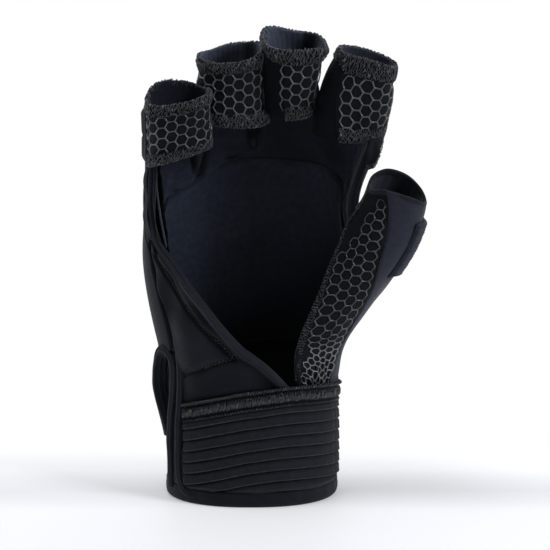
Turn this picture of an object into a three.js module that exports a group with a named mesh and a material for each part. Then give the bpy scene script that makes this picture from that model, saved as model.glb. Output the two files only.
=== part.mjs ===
// A right-hand field hockey glove with an open palm and half-length fingers,
// standing on its wrist cuff with the palm side towards -Y. Millimetres, +Z up.
// The origin is on the floor under the centre of the glove's bounding box.
//
// The hand is one oval tube that changes size with height: the padded back, the
// heel panel and the wrist cuff are patches of it. Each finger and the thumb is
// a tube of its own. Every patch is a wall with an outer and an inner face.
import * as THREE from "three";

// Driving sizes
const CENTRE = { x: 3.98, y: 0.2 }; // middle of the bounding box in the drawing frame
const GAP = 0.4; // clearance between neighbouring pieces
const BOXINESS = 2.3; // exponent of the hand's oval: 2 is an ellipse
const FINGER_BOXINESS = 2.5;
const SHELL_WALL = 4.2; // foam-backed neoprene of the back
const HEEL_WALL = 2.4;
const HEM = { width: 8, extra: 1.0 }; // folded edge of the heel panel
const RIM = { height: 7.2, wall: 3.4 }; // binding round the bottom of the cuff
const RIBS = { count: 6, relief: 1.2, wall: 1.6 };
const TAPE = { height: 9.5, wall: 2.2, proud: 0.5 }; // sewn tape along the cuff's top
const FINGER_WALL = 1.9;
const OVERLOCK = { height: 4.2, extra: 0.7 }; // thick stitched ends of a finger grip
const THUMB_WALL = 2.2;
const SEAM = 1.8; // degrees between a grip and the back of its tube

// Sections of the hand's oval: height, centre, half width on the little-finger side
// and on the thumb side, half depth.
const HAND = [
  { z: 0, x: -10.8, y: 0, little: 39.4, thumb: 39.4, b: 28 },
  { z: 28, x: -10.8, y: 0, little: 39.3, thumb: 39.3, b: 27.5 },
  { z: 56, x: -11.3, y: 0, little: 40.1, thumb: 40.1, b: 26.5 },
  { z: 80, x: -12.6, y: 0, little: 43.0, thumb: 48.0, b: 25.5 },
  { z: 98, x: -13.3, y: 0, little: 45.3, thumb: 53.4, b: 25.0 },
  { z: 112, x: -13.0, y: 0, little: 46.8, thumb: 53.4, b: 24.4 },
  { z: 130, x: -11.2, y: 0, little: 48.4, thumb: 49.2, b: 23.5 },
  { z: 150, x: -7.1, y: 0, little: 51.1, thumb: 51.1, b: 22.5 },
  { z: 182, x: -4.6, y: 0, little: 53.0, thumb: 53.0, b: 21.0 },
];

// Angles round the oval run from +X through the back (90) and the little-finger
// side (180) to the palm (270). The back shell lies between the two edges.
const SHELL_EDGES = [
  { z: 0, thumb: 22, little: 197.5 },
  { z: 22, thumb: 22, little: 197.5 },
  { z: 29, thumb: 22, little: 191 },
  { z: 40, thumb: 22, little: 185.5 },
  { z: 54, thumb: 24, little: 182.5 },
  { z: 66, thumb: 26, little: 184 },
  { z: 72, thumb: 26, little: 187 },
  { z: 74.5, thumb: 26, little: 196 },
  { z: 76.5, thumb: 26, little: 207 },
  { z: 79, thumb: 26, little: 215 },
  { z: 95, thumb: 21.5, little: 211 },
  { z: 106, thumb: 14, little: 208.5 },
  { z: 115, thumb: 9, little: 204 },
  { z: 122, thumb: 2.2, little: 194 },
  { z: 132, thumb: -7, little: 190 },
  { z: 150, thumb: -16, little: 189.5 },
  { z: 182, thumb: -16, little: 189.5 },
];
const SHELL_ROWS = [
  7.6, 18, 25, 32, 40, 49, 58, 66, 71.5, 74, 76.5, 79, 84, 92, 102, 112, 119, 126, 134, 144, 154, 164, 174,
];
const SLIT_BULGE = { z: 50, reach: 21, out: 3.6 }; // the back's edge gapes at the wrist

// Top edge of the back shell and of the cuff, by angle.
const SHELL_TOP = [
  { angle: -20, z: 162.5 },
  { angle: 20, z: 164.5 },
  { angle: 47, z: 169.2 },
  { angle: 62, z: 169.4 },
  { angle: 70, z: 178.5 },
  { angle: 80, z: 181 },
  { angle: 85, z: 178 },
  { angle: 91, z: 172.9 },
  { angle: 108, z: 173.3 },
  { angle: 118, z: 171.5 },
  { angle: 125, z: 165 },
  { angle: 132, z: 156.2 },
  { angle: 145, z: 154.2 },
  { angle: 170, z: 151.2 },
  { angle: 195, z: 150 },
];
const CUFF_TOP = [
  { angle: 200, z: 44 },
  { angle: 222, z: 46 },
  { angle: 254, z: 51 },
  { angle: 274, z: 54 },
  { angle: 298, z: 55.5 },
  { angle: 340, z: 53.5 },
  { angle: 380, z: 49.5 },
];

// The heel panel: its side edge and its free diagonal edge, from the cuff (share 0)
// to the little finger (share 1).
const HEEL_EDGES = [
  { share: 0, side: 227, sideZ: 46.6, free: 296, freeZ: 55.9 },
  { share: 0.1, side: 228, sideZ: 56, free: 288, freeZ: 61 },
  { share: 0.2, side: 229, sideZ: 66, free: 279, freeZ: 66.5 },
  { share: 0.27, side: 228, sideZ: 72, free: 272, freeZ: 71 },
  { share: 0.34, side: 219.8, sideZ: 79, free: 265.5, freeZ: 77 },
  { share: 0.42, side: 216, sideZ: 87, free: 258, freeZ: 84.5 },
  { share: 0.52, side: 213, sideZ: 96, free: 249, freeZ: 94 },
  { share: 0.62, side: 210.5, sideZ: 106, free: 238, freeZ: 104.5 },
  { share: 0.7, side: 207.5, sideZ: 115, free: 227, freeZ: 113.5 },
  { share: 0.77, side: 196.5, sideZ: 122, free: 214, freeZ: 121.5 },
  { share: 0.84, side: 192, sideZ: 130, free: 206.5, freeZ: 130 },
  { share: 1, side: 191, sideZ: 150.5, free: 204, freeZ: 150.5 },
];

// Route of the tape that binds the wrist slit: up beside the cuff, over the top and
// down the gaping edge. out is the distance outwards from the oval.
const SLIT_ROUTE = [
  { angle: 203.4, z: 9.6, out: -1.4 },
  { angle: 203.2, z: 20, out: -1.4 },
  { angle: 203.4, z: 30, out: -1.3 },
  { angle: 205.5, z: 40, out: -1.2 },
  { angle: 208.8, z: 50, out: -1.1 },
  { angle: 212.4, z: 60, out: -1.0 },
  { angle: 213.4, z: 67, out: -0.8 },
  { angle: 210, z: 71.4, out: -0.3 },
  { angle: 203.5, z: 72, out: 0.2 },
  { angle: 195.5, z: 69, out: 1.2 },
  { angle: 190, z: 62, out: 2.8 },
  { angle: 187.6, z: 52, out: 4.0 },
  { angle: 189.4, z: 42, out: 2.8 },
  { angle: 193.6, z: 34, out: 0.8 },
  { angle: 196.8, z: 30, out: -0.6 },
];
const SLIT_TAPE = { width: 3.8, thickness: 2.8, steps: 34 };

// A second tape beside it covers the end of the elastic.
const SIDE_ROUTE = [
  { angle: 215.2, z: 9.4, out: -1.2 },
  { angle: 216, z: 24, out: -1.2 },
  { angle: 217, z: 36, out: -1.2 },
  { angle: 219.6, z: 48, out: -1.1 },
  { angle: 222.2, z: 60, out: -1.0 },
  { angle: 223.4, z: 70, out: -1.0 },
];
const SIDE_TAPE = { width: 3.2, thickness: 2.6, steps: 12 };

// Sections of the fingers: height, centre, half width, half depth, the rise of the
// section's plane towards +X (slope) and towards the back (rake), and the angles
// between which the grip lies.
const FINGERS = {
  little: {
    sections: [
      { z: 157, x: -42.5, y: -3.6, a: 14.3, b: 15.9, slope: 0.3, rake: 0, from: 188, to: 354 },
      { z: 163, x: -42.2, y: -9.2, a: 14.0, b: 12.6, slope: 0.26, rake: 0.1, from: 189, to: 353 },
      { z: 172, x: -42.0, y: -12.7, a: 13.8, b: 10.4, slope: 0.22, rake: 0.2, from: 190, to: 352 },
      { z: 186, x: -42.2, y: -14.6, a: 13.8, b: 10.3, slope: 0.15, rake: 0.42, from: 190, to: 351 },
    ],
    pad: { low: 0.05, high: 0.86, from: 84, to: 176 },
  },
  ring: {
    sections: [
      { z: 172.6, x: -17.4, y: 7.4, a: 14.7, b: 13.2, slope: -0.03, rake: 0.25, from: 184, to: 352 },
      { z: 179, x: -19.3, y: 4.6, a: 14.5, b: 12.2, slope: 0, rake: 0.25, from: 183, to: 352 },
      { z: 190, x: -19.5, y: 1.8, a: 14.3, b: 11.0, slope: 0.04, rake: 0.25, from: 182, to: 352 },
      { z: 202.3, x: -19.4, y: 0, a: 14.5, b: 11.0, slope: 0.07, rake: 0.25, from: 182, to: 351 },
    ],
    pad: { low: 0.12, high: 0.86, from: 48, to: 132 },
  },
  middle: {
    sections: [
      { z: 177.2, x: 7.2, y: 8.0, a: 9.9, b: 12.6, slope: 0, rake: 0.36, from: 255, to: 342 },
      { z: 190, x: 8.0, y: 2.8, a: 11.2, b: 11.0, slope: -0.03, rake: 0.42, from: 254, to: 338 },
      { z: 201, x: 8.6, y: -0.6, a: 12.2, b: 11.0, slope: -0.08, rake: 0.43, from: 254, to: 338 },
      { z: 207.4, x: 8.6, y: -2.6, a: 14.6, b: 11.0, slope: -0.12, rake: 0.43, from: 254, to: 338 },
    ],
    pad: { low: 0.12, high: 0.86, from: 48, to: 132 },
  },
  index: {
    sections: [
      { z: 166.8, x: 33.7, y: 3.4, a: 14.9, b: 13.2, slope: 0, rake: 0.27, from: 251, to: 350 },
      { z: 181, x: 35.3, y: -0.2, a: 16.0, b: 11.0, slope: -0.08, rake: 0.3, from: 240, to: 350 },
      { z: 190, x: 37.4, y: -1.2, a: 14.8, b: 11.0, slope: -0.18, rake: 0.3, from: 226, to: 350 },
      { z: 199.4, x: 40.2, y: -2.4, a: 13.3, b: 11.0, slope: -0.28, rake: 0.3, from: 210, to: 350 },
    ],
    pad: { low: 0.14, high: 0.86, from: 48, to: 132 },
  },
};
const PAD = { gap: 0.6, edge: 0.9, thickness: 2.9 }; // foam on the backs of the fingers

// Sections of the thumb. It is open towards the palm below the web of the hand,
// so from and to are the ends of its arc, and seam is where the grip panel ends.
const THUMB = [
  { z: 59.4, x: -11.4, y: 0, a: 40.2, b: 26.4, slope: -0.12, rake: 0, from: 300, seam: 333, to: 383 },
  { z: 76, x: 8.2, y: -3.2, a: 26.0, b: 23.0, slope: -0.03, rake: 0, from: 274, seam: 330, to: 397 },
  { z: 98, x: 28.4, y: -8.5, a: 21.0, b: 18.0, slope: -0.05, rake: 0, from: 246, seam: 308, to: 428 },
  { z: 116, x: 42.0, y: -12.8, a: 17.8, b: 15.2, slope: -0.1, rake: 0.05, from: 212, seam: 282, to: 459 },
  { z: 129, x: 48.2, y: -16.0, a: 16.2, b: 13.4, slope: -0.18, rake: 0.12, from: 193, seam: 272, to: 496 },
  { z: 137.5, x: 51.8, y: -18.4, a: 14.0, b: 12.0, slope: -0.26, rake: 0.2, from: 186, seam: 260, to: 541 },
  { z: 146, x: 53.6, y: -20.6, a: 12.7, b: 10.9, slope: -0.34, rake: 0.3, from: 184, seam: 247, to: 541 },
];
const THUMB_PAD = { low: 0.5, high: 0.86, from: 342, to: 412, thickness: 2.9 };

// The foam panel of the back, and the lining panel sewn round it on the inside.
const BACK_PAD = { low: 62, high: 160, from: 36, to: 154, gap: 0.6, thickness: 6.0, edge: 1.6, round: 0.7 };
const LINING_PAD = { low: 60, high: 154, from: 30, to: 158, gap: 0.7, thickness: 1.6, round: 0.75 };

const COLOURS = {
  neoprene: { color: 0x15161b, roughness: 0.85 },
  lining: { color: 0x111520, roughness: 0.92 },
  grip: { color: 0x121314, roughness: 0.6 },
  elastic: { color: 0x141517, roughness: 0.8 },
  binding: { color: 0x16171d, roughness: 0.85 },
  foam_cover: { color: 0x17181f, roughness: 0.7 },
};
const materials = Object.fromEntries(
  Object.entries(COLOURS).map(([name, look]) => [
    name,
    new THREE.MeshStandardMaterial({ ...look, metalness: 0 }),
  ]),
);

const radians = (degrees) => (degrees * Math.PI) / 180;
const mix = (a, b, t) => a + (b - a) * t;
const smooth = (t) => {
  const c = Math.min(1, Math.max(0, t));
  return c * c * (3 - 2 * c);
};

// Reads a table smoothly: rows in order of one column, every other column blended
// by a cubic through the rows.
function reader(rows, key) {
  const names = Object.keys(rows[0]).filter((name) => name !== key);
  return (at) => {
    const t = Math.min(rows.at(-1)[key], Math.max(rows[0][key], at));
    const i = Math.max(0, rows.findLastIndex((row, n) => n < rows.length - 1 && row[key] <= t));
    const [p, q] = [rows[i], rows[i + 1]];
    const span = q[key] - p[key];
    const s = (t - p[key]) / span;
    const before = rows[i - 1] ?? p;
    const after = rows[i + 2] ?? q;
    const made = {};
    for (const name of names) {
      const start = ((q[name] - before[name]) / (q[key] - before[key])) * span;
      const end = ((after[name] - p[name]) / (after[key] - p[key])) * span;
      made[name] =
        p[name] * (1 + 2 * s) * (1 - s) ** 2 +
        start * s * (1 - s) ** 2 +
        q[name] * s ** 2 * (3 - 2 * s) +
        end * s ** 2 * (s - 1);
    }
    return made;
  };
}

// A point on an oval of that boxiness.
function oval(section, degrees, boxiness) {
  const [c, s] = [Math.cos(radians(degrees)), Math.sin(radians(degrees))];
  const power = 2 / boxiness;
  const halfWidth = section.a ?? (c > 0 ? section.thumb : section.little);
  return [
    section.x + halfWidth * Math.sign(c) * Math.abs(c) ** power,
    section.y + section.b * Math.sign(s) * Math.abs(s) ** power,
  ];
}

const handAt = reader(HAND, "z");
const shellEdgesAt = reader(SHELL_EDGES, "z");
const heelEdgesAt = reader(HEEL_EDGES, "share");
const shellTopAt = reader(SHELL_TOP, "angle");
const cuffTopAt = reader(CUFF_TOP, "angle");

function handPoint(degrees, z) {
  const [x, y] = oval(handAt(z), degrees, BOXINESS);
  return new THREE.Vector3(x, y, z);
}

// The unit normal of a surface(u, v), by small steps, pointing out of the glove.
function normalOf(surface, u, v, stepU, stepV) {
  const along = surface(u + stepU, v).sub(surface(u - stepU, v));
  const up = surface(u, v + stepV).sub(surface(u, v - stepV));
  return along.cross(up).normalize();
}

// A closed wall over a grid of (u, v). outer and inner are the distances of its two
// faces from the surface, along the outward normal.
function wall(surface, us, vs, outer, inner) {
  const [stepU, stepV] = [(us.at(-1) - us[0]) * 1e-3, (vs.at(-1) - vs[0]) * 1e-3];
  const points = [];
  for (const face of [outer, inner])
    for (const v of vs)
      for (const u of us) {
        const n = normalOf(surface, u, v, stepU, stepV);
        points.push(surface(u, v).addScaledVector(n, face(u, v)));
      }
  const [across, high] = [us.length, vs.length];
  const at = (face, i, j) => face * across * high + j * across + i;
  const triangles = [];
  const quad = (a, b, c, d) => triangles.push(a, b, c, a, c, d);
  for (let j = 0; j < high - 1; j++)
    for (let i = 0; i < across - 1; i++) {
      quad(at(0, i, j), at(0, i + 1, j), at(0, i + 1, j + 1), at(0, i, j + 1));
      quad(at(1, i, j), at(1, i, j + 1), at(1, i + 1, j + 1), at(1, i + 1, j));
    }
  for (let i = 0; i < across - 1; i++) {
    quad(at(0, i, 0), at(1, i, 0), at(1, i + 1, 0), at(0, i + 1, 0));
    quad(at(0, i, high - 1), at(0, i + 1, high - 1), at(1, i + 1, high - 1), at(1, i, high - 1));
  }
  for (let j = 0; j < high - 1; j++) {
    quad(at(0, 0, j), at(0, 0, j + 1), at(1, 0, j + 1), at(1, 0, j));
    quad(at(0, across - 1, j), at(1, across - 1, j), at(1, across - 1, j + 1), at(0, across - 1, j + 1));
  }
  return geometry(points, triangles);
}

// A closed solid from a ring of section points carried along a route. A closed
// route has no end caps.
function swept(rings, closed) {
  const sides = rings[0].length;
  const triangles = [];
  const last = closed ? rings.length : rings.length - 1;
  for (let k = 0; k < last; k++)
    for (let i = 0; i < sides; i++) {
      const [a, b] = [k * sides + i, k * sides + ((i + 1) % sides)];
      const next = ((k + 1) % rings.length) * sides;
      const [c, d] = [next + ((i + 1) % sides), next + i];
      triangles.push(a, c, b, a, d, c);
    }
  if (!closed)
    for (let i = 1; i < sides - 1; i++) {
      triangles.push(0, i, i + 1);
      const end = (rings.length - 1) * sides;
      triangles.push(end, end + i + 1, end + i);
    }
  return geometry(rings.flat(), triangles);
}

function geometry(points, triangles) {
  const made = new THREE.BufferGeometry().setFromPoints(points);
  made.setIndex(triangles);
  return made;
}

const range = (from, to, steps) =>
  Array.from({ length: steps + 1 }, (_, i) => mix(from, to, i / steps));
const constant = (value) => () => value;

const glove = new THREE.Group();
glove.position.set(-CENTRE.x, -CENTRE.y, 0);
function add(name, shape, material) {
  const mesh = new THREE.Mesh(shape, materials[material]);
  mesh.name = name;
  shape.computeVertexNormals();
  glove.add(mesh);
}

// Wrist rim: a padded binding round the whole bottom of the cuff, flat underneath.
const rimSection = [
  { in: 0.6, z: 0 },
  { in: 0, z: 1.2 },
  { in: 0, z: RIM.height - 1 },
  { in: 0.8, z: RIM.height },
  { in: RIM.wall - 0.6, z: RIM.height },
  { in: RIM.wall, z: RIM.height - 1 },
  { in: RIM.wall, z: 0 },
];
const rimRings = range(0, 360, 38)
  .slice(0, -1)
  .map((angle) =>
    rimSection.map((row) => {
      const n = normalOf(handPoint, angle, row.z, 0.5, 0.5);
      return handPoint(angle, row.z).addScaledVector(n, 0.4 - row.in);
    }),
  );
add("cuff_rim", swept(rimRings, true), "binding");

// Back shell: u runs from the thumb's edge to the little finger's. Its rows are
// level up to the knuckles, and from there they follow the top edge.
const slitBulge = (angle, z) =>
  SLIT_BULGE.out *
  smooth(1 - Math.abs(z - SLIT_BULGE.z) / SLIT_BULGE.reach) *
  smooth((angle - 150) / 40);
const knuckles = { z: 118, top: SHELL_ROWS.at(-1) };
function shellPoint(u, row) {
  const edges = shellEdgesAt(row);
  const angle = mix(edges.thumb, edges.little, u);
  const above = Math.max(0, (row - knuckles.z) / (knuckles.top - knuckles.z));
  const z = row + (shellTopAt(angle).z - knuckles.top) * above ** 1.5;
  const point = handPoint(angle, z);
  point.x -= slitBulge(angle, z);
  return point;
}
add(
  "back_shell",
  wall(shellPoint, range(0, 1, 20), SHELL_ROWS, constant(0), constant(-SHELL_WALL)),
  "neoprene",
);

// A panel with a rounded outline laid on the hand's surface.
function panelPoint(panel) {
  return (u, v) => {
    const [s, t] = [2 * u - 1, 2 * v - 1];
    const across = s * Math.sqrt(1 - (panel.round * t * t) / 2);
    const up = t * Math.sqrt(1 - (panel.round * s * s) / 2);
    return handPoint(
      mix(panel.from, panel.to, 0.5 + 0.5 * across),
      mix(panel.low, panel.high, 0.5 + 0.5 * up),
    );
  };
}
const crown = (u, v) => smooth(5 * Math.min(u, 1 - u)) * smooth(5 * Math.min(v, 1 - v));
add(
  "back_pad",
  wall(
    panelPoint(BACK_PAD),
    range(0, 1, 14),
    range(0, 1, 11),
    (u, v) => BACK_PAD.gap + mix(BACK_PAD.edge, BACK_PAD.thickness, crown(u, v)),
    constant(BACK_PAD.gap),
  ),
  "foam_cover",
);
add(
  "lining_pad",
  wall(
    panelPoint(LINING_PAD),
    range(0, 1, 14),
    range(0, 1, 10),
    constant(-SHELL_WALL - LINING_PAD.gap),
    constant(-SHELL_WALL - LINING_PAD.gap - LINING_PAD.thickness),
  ),
  "lining",
);

// Heel panel: neoprene from the little-finger side across the heel of the hand,
// with a folded, stitched hem along its diagonal edge.
function heelPoint(u, v) {
  const edges = heelEdgesAt(v);
  const angle = mix(edges.side, edges.free, u);
  const straight = mix(edges.sideZ, edges.freeZ, u);
  const z = straight + (cuffTopAt(angle).z + GAP - straight) * (1 - v) ** 12;
  return handPoint(angle, z);
}
const hemShare = (v) => {
  const edges = heelEdgesAt(v);
  return Math.min(1, HEM.width / (radians(edges.free - edges.side) * 38));
};
add(
  "heel_panel",
  wall(
    heelPoint,
    [...range(0, 0.8, 7), 0.87, 0.93, 1],
    range(0, 1, 15),
    (u, v) => HEM.extra * smooth((u - 1 + hemShare(v)) * 8 + 0.2) * smooth(v * 8),
    constant(-HEEL_WALL),
  ),
  "neoprene",
);

// Cuff: ribbed elastic round the front of the wrist, with a sewn tape along its top.
const CUFF = { from: 223, to: 379 };
function cuffPoint(low, high) {
  return (angle, v) => {
    const top = cuffTopAt(angle).z - TAPE.height - GAP;
    const [bottom, upper] = low === "rim" ? [RIM.height + GAP, top] : [top + GAP, top + GAP + high];
    return handPoint(angle, mix(bottom, upper, v));
  };
}
const ribRows = range(0, 1, RIBS.count * 3);
add(
  "cuff_elastic",
  wall(
    cuffPoint("rim"),
    range(CUFF.from, CUFF.to, 18),
    ribRows,
    (angle, v) => RIBS.relief * Math.abs(Math.sin(Math.PI * RIBS.count * v)),
    constant(-RIBS.wall),
  ),
  "elastic",
);
add(
  "cuff_tape",
  wall(
    cuffPoint("tape", TAPE.height),
    range(CUFF.from, CUFF.to, 18),
    [0, 0.12, 0.88, 1],
    (angle, v) => (v > 0 && v < 1 ? TAPE.proud + 0.4 : TAPE.proud),
    constant(TAPE.proud - TAPE.wall),
  ),
  "elastic",
);

// Tapes at the side of the wrist: an oval section carried along a route.
function tape(rows, size) {
  const route = new THREE.CatmullRomCurve3(
    rows.map((row) => {
      const n = normalOf(handPoint, row.angle, row.z, 0.5, 0.5);
      return handPoint(row.angle, row.z).addScaledVector(n, row.out);
    }),
    false,
    "centripetal",
  );
  const rings = range(0, 1, size.steps).map((t) => {
    const point = route.getPointAt(t);
    const along = route.getTangentAt(t);
    const { x, y, little, b } = handAt(point.z);
    const out = new THREE.Vector3((point.x - x) / little ** 2, (point.y - y) / b ** 2, 0);
    const side = new THREE.Vector3().crossVectors(along, out).normalize();
    const proud = new THREE.Vector3().crossVectors(side, along).normalize();
    return range(0, 2 * Math.PI, 8)
      .slice(0, -1)
      .map((turn) =>
        point
          .clone()
          .addScaledVector(side, (Math.cos(turn) * size.width) / 2)
          .addScaledVector(proud, (Math.sin(turn) * size.thickness) / 2),
      );
  });
  return swept(rings, false);
}
add("slit_binding", tape(SLIT_ROUTE, SLIT_TAPE), "binding");
add("side_binding", tape(SIDE_ROUTE, SIDE_TAPE), "binding");

// A piece of a tube: u runs along the arc between two columns of its sections, or
// between two fixed angles, and v along its length.
const arcEnd = (section, end) => (typeof end === "number" ? end : section[end.column] + end.shift);
function tubePoint(sections, boxiness, first, last) {
  const at = reader(sections, "z");
  const [low, high] = [sections[0].z, sections.at(-1).z];
  return (u, v) => {
    const section = at(mix(low, high, v));
    const angle = mix(arcEnd(section, first), arcEnd(section, last), u);
    const [x, y] = oval(section, angle, boxiness);
    const rise = section.slope * (x - section.x) + section.rake * (y - section.y);
    return new THREE.Vector3(x, y, mix(low, high, v) + rise);
  };
}
const edge = (column, shift) => ({ column, shift });

// A foam pad on a patch of a tube, thin at its edges.
function foam(point, pad, thickness, columns) {
  return wall(
    (u, v) => point(u, mix(pad.low, pad.high, v)),
    range(0, 1, columns),
    [0, 0.1, 0.4, 0.6, 0.9, 1],
    (u, v) => {
      const middle = smooth(8 * Math.min(v, 1 - v)) * smooth(6 * Math.min(u, 1 - u));
      return PAD.gap + mix(PAD.edge, thickness, middle);
    },
    constant(PAD.gap),
  );
}

// Fingers: a grip panel on the palm side with thick overlocked ends, a back that
// closes the tube, and a foam pad on that back.
for (const [name, { sections, pad }] of Object.entries(FINGERS)) {
  const front = tubePoint(sections, FINGER_BOXINESS, edge("from", 0), edge("to", 0));
  const back = tubePoint(sections, FINGER_BOXINESS, edge("to", SEAM - 360), edge("from", -SEAM));
  const under = tubePoint(sections, FINGER_BOXINESS, pad.from, pad.to);
  const hem = OVERLOCK.height / (sections.at(-1).z - sections[0].z);
  const span = (sections[0].to - sections[0].from) / 12;
  add(
    `${name}_grip`,
    wall(
      front,
      range(0, 1, Math.round(span * 0.9)),
      [0, hem, hem * 1.3, 0.5, 1 - hem * 1.3, 1 - hem, 1],
      (u, v) => (v <= hem || v >= 1 - hem ? OVERLOCK.extra : 0),
      constant(-FINGER_WALL),
    ),
    "grip",
  );
  add(
    `${name}_back`,
    wall(back, range(0, 1, Math.round(27 - span * 0.9)), range(0, 1, 4), constant(0), constant(-FINGER_WALL)),
    "neoprene",
  );
  add(`${name}_pad`, foam(under, pad, PAD.thickness, 7), "foam_cover");
}

// Thumb: a long grip panel, the neoprene that carries it round to the back, and a
// foam pad on the outside.
const THUMB_BOXINESS = 2.15;
const thumbFront = tubePoint(THUMB, THUMB_BOXINESS, edge("from", 0), edge("seam", 0));
const thumbBack = tubePoint(THUMB, THUMB_BOXINESS, edge("seam", SEAM), edge("to", 0));
const thumbUnder = tubePoint(THUMB, THUMB_BOXINESS, THUMB_PAD.from, THUMB_PAD.to);
add(
  "thumb_grip",
  wall(thumbFront, range(0, 1, 8), range(0, 1, 12), constant(0), constant(-THUMB_WALL)),
  "grip",
);
add(
  "thumb_back",
  wall(thumbBack, range(0, 1, 14), range(0, 1, 12), constant(0), constant(-THUMB_WALL)),
  "neoprene",
);
add("thumb_pad", foam(thumbUnder, THUMB_PAD, THUMB_PAD.thickness, 7), "foam_cover");

export default glove;
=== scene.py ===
# The looks of a right-hand field hockey glove with an open palm and half fingers.
# It is a sewn object: each section cuts one panel, tape or row of stitches flat, in
# millimetres, and lays it on the form that the CAD solid has there.
import math

import bpy
import numpy as np
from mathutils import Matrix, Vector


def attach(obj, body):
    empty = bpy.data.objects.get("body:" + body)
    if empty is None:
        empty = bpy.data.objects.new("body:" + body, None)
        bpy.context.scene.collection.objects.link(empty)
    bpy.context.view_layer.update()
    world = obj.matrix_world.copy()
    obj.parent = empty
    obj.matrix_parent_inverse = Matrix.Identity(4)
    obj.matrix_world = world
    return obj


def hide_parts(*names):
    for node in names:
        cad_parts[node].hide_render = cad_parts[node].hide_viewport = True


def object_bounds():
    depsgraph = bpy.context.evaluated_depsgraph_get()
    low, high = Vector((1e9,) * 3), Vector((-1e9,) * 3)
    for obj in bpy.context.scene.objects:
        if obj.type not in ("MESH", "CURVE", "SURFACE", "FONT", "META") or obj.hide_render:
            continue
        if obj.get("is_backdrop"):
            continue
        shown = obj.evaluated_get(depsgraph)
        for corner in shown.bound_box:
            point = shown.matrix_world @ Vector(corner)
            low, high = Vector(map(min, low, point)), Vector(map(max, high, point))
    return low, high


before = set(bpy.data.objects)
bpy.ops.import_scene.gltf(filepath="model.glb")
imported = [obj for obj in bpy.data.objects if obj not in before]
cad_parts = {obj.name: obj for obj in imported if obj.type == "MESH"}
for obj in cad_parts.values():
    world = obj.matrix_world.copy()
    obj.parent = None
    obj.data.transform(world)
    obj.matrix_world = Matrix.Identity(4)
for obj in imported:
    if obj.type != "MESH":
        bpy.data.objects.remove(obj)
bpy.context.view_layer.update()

# Floor, light and camera: a white table under soft white light, seen a little from
# above, as in a studio. The room is a plain white world, brighter to the camera.
MIDDLE = (-0.00398, -0.0002, 0.1014)  # the point that the camera looks at
CAMERA_DISTANCE = 0.765
CAMERA_DOWN = math.radians(12)
CAMERA_LENS = 110.16
LIGHT_COLOUR = (0.93, 0.96, 1.0)
WHITE = (1, 1, 1, 1)
# Painted shadow: the floor's glow dips to these greys in a band under and behind the glove.
SHADOW = [(0.35, 0.32), (0.44, 0.23), (0.54, 0.18), (0.64, 0.25), (0.76, 0.37)]  # place, grey


def wire(tree, node, inputs):
    """Sets a node's inputs, each to a value or to another node's output."""
    for key, value in inputs.items():
        if isinstance(value, bpy.types.NodeSocket):
            tree.links.new(value, node.inputs[key])
        else:
            node.inputs[key].default_value = value


def put(tree, kind, inputs=None, **settings):
    """A shader node with its settings and its inputs."""
    node = tree.nodes.new("ShaderNode" + kind)
    for key, value in settings.items():
        setattr(node, key, value)
    wire(tree, node, inputs or {})
    return node


def rescale(tree, value, start=0.0, end=1.0, low=0.0, high=1.0, **settings):
    """A value between start and end, made one between low and high."""
    inputs = {"Value": value, "From Min": start, "From Max": end, "To Min": low, "To Max": high}
    return put(tree, "MapRange", inputs, **settings).outputs[0]


def ramp(tree, share, stops):
    """A run of colours. The stops are places between 0 and 1, each with its colour."""
    node = put(tree, "ValToRGB", {0: share})
    elements = node.color_ramp.elements
    for place, colour in stops[1:-1]:
        elements.new(place).color = (*colour, 1)
    for end in (0, -1):
        elements[end].position = stops[end][0]
        elements[end].color = (*stops[end][1], 1)
    return node.outputs[0]


def paint(name):
    """A new material, with its node tree and its shader."""
    made = bpy.data.materials.new(name)
    made.use_nodes = True
    return made, made.node_tree, made.node_tree.nodes["Principled BSDF"]


back, up = CAMERA_DISTANCE * math.cos(CAMERA_DOWN), CAMERA_DISTANCE * math.sin(CAMERA_DOWN)
bpy.ops.object.select_all(action="DESELECT")
bpy.ops.object.camera_add(
    location=(MIDDLE[0], MIDDLE[1] - back, MIDDLE[2] + up), rotation=(math.pi / 2 - CAMERA_DOWN, 0, 0)
)
camera = bpy.context.object
camera.data.sensor_width = 36
camera.data.lens = CAMERA_LENS
bpy.context.scene.camera = camera
bpy.context.scene.view_settings.view_transform = "Standard"

for name, place, size, power in (
    ("key_light", (1.05, -0.52, 0.78), 0.35, 9.6),
    ("left_light", (-1.0, 0.25, 0.35), 0.5, 2.4),
    ("top_light", (-0.25, -0.2, 1.2), 0.4, 4.4),
):
    toward = np.array(MIDDLE) - np.array(place)
    turn = math.atan2(toward[1], toward[0]) - math.pi / 2
    tilt = math.acos(-toward[2] / np.linalg.norm(toward))
    bpy.ops.object.light_add(type="AREA", location=place, rotation=(tilt, 0, turn))
    light = bpy.context.object
    light.name = name
    light.data.size = size
    light.data.energy = power
    light.data.color = LIGHT_COLOUR

world = bpy.data.worlds.new("white_room")
bpy.context.scene.world = world
world.use_nodes = True
tree = world.node_tree
tree.nodes.clear()
heading = put(tree, "SeparateXYZ", {0: put(tree, "TexCoord").outputs["Generated"]}).outputs["Y"]
behind = rescale(tree, heading, -0.35, 0.9, 0.03, 0.85, interpolation_type="SMOOTHSTEP")
lighting = put(tree, "Background", {"Color": (*LIGHT_COLOUR, 1), "Strength": behind})
backdrop = put(tree, "Background", {"Color": WHITE, "Strength": 1.0})
seen = put(tree, "LightPath").outputs["Is Camera Ray"]
both = put(tree, "MixShader", {0: seen, 1: lighting.outputs[0], 2: backdrop.outputs[0]})
put(tree, "OutputWorld", {"Surface": both.outputs[0]})

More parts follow.
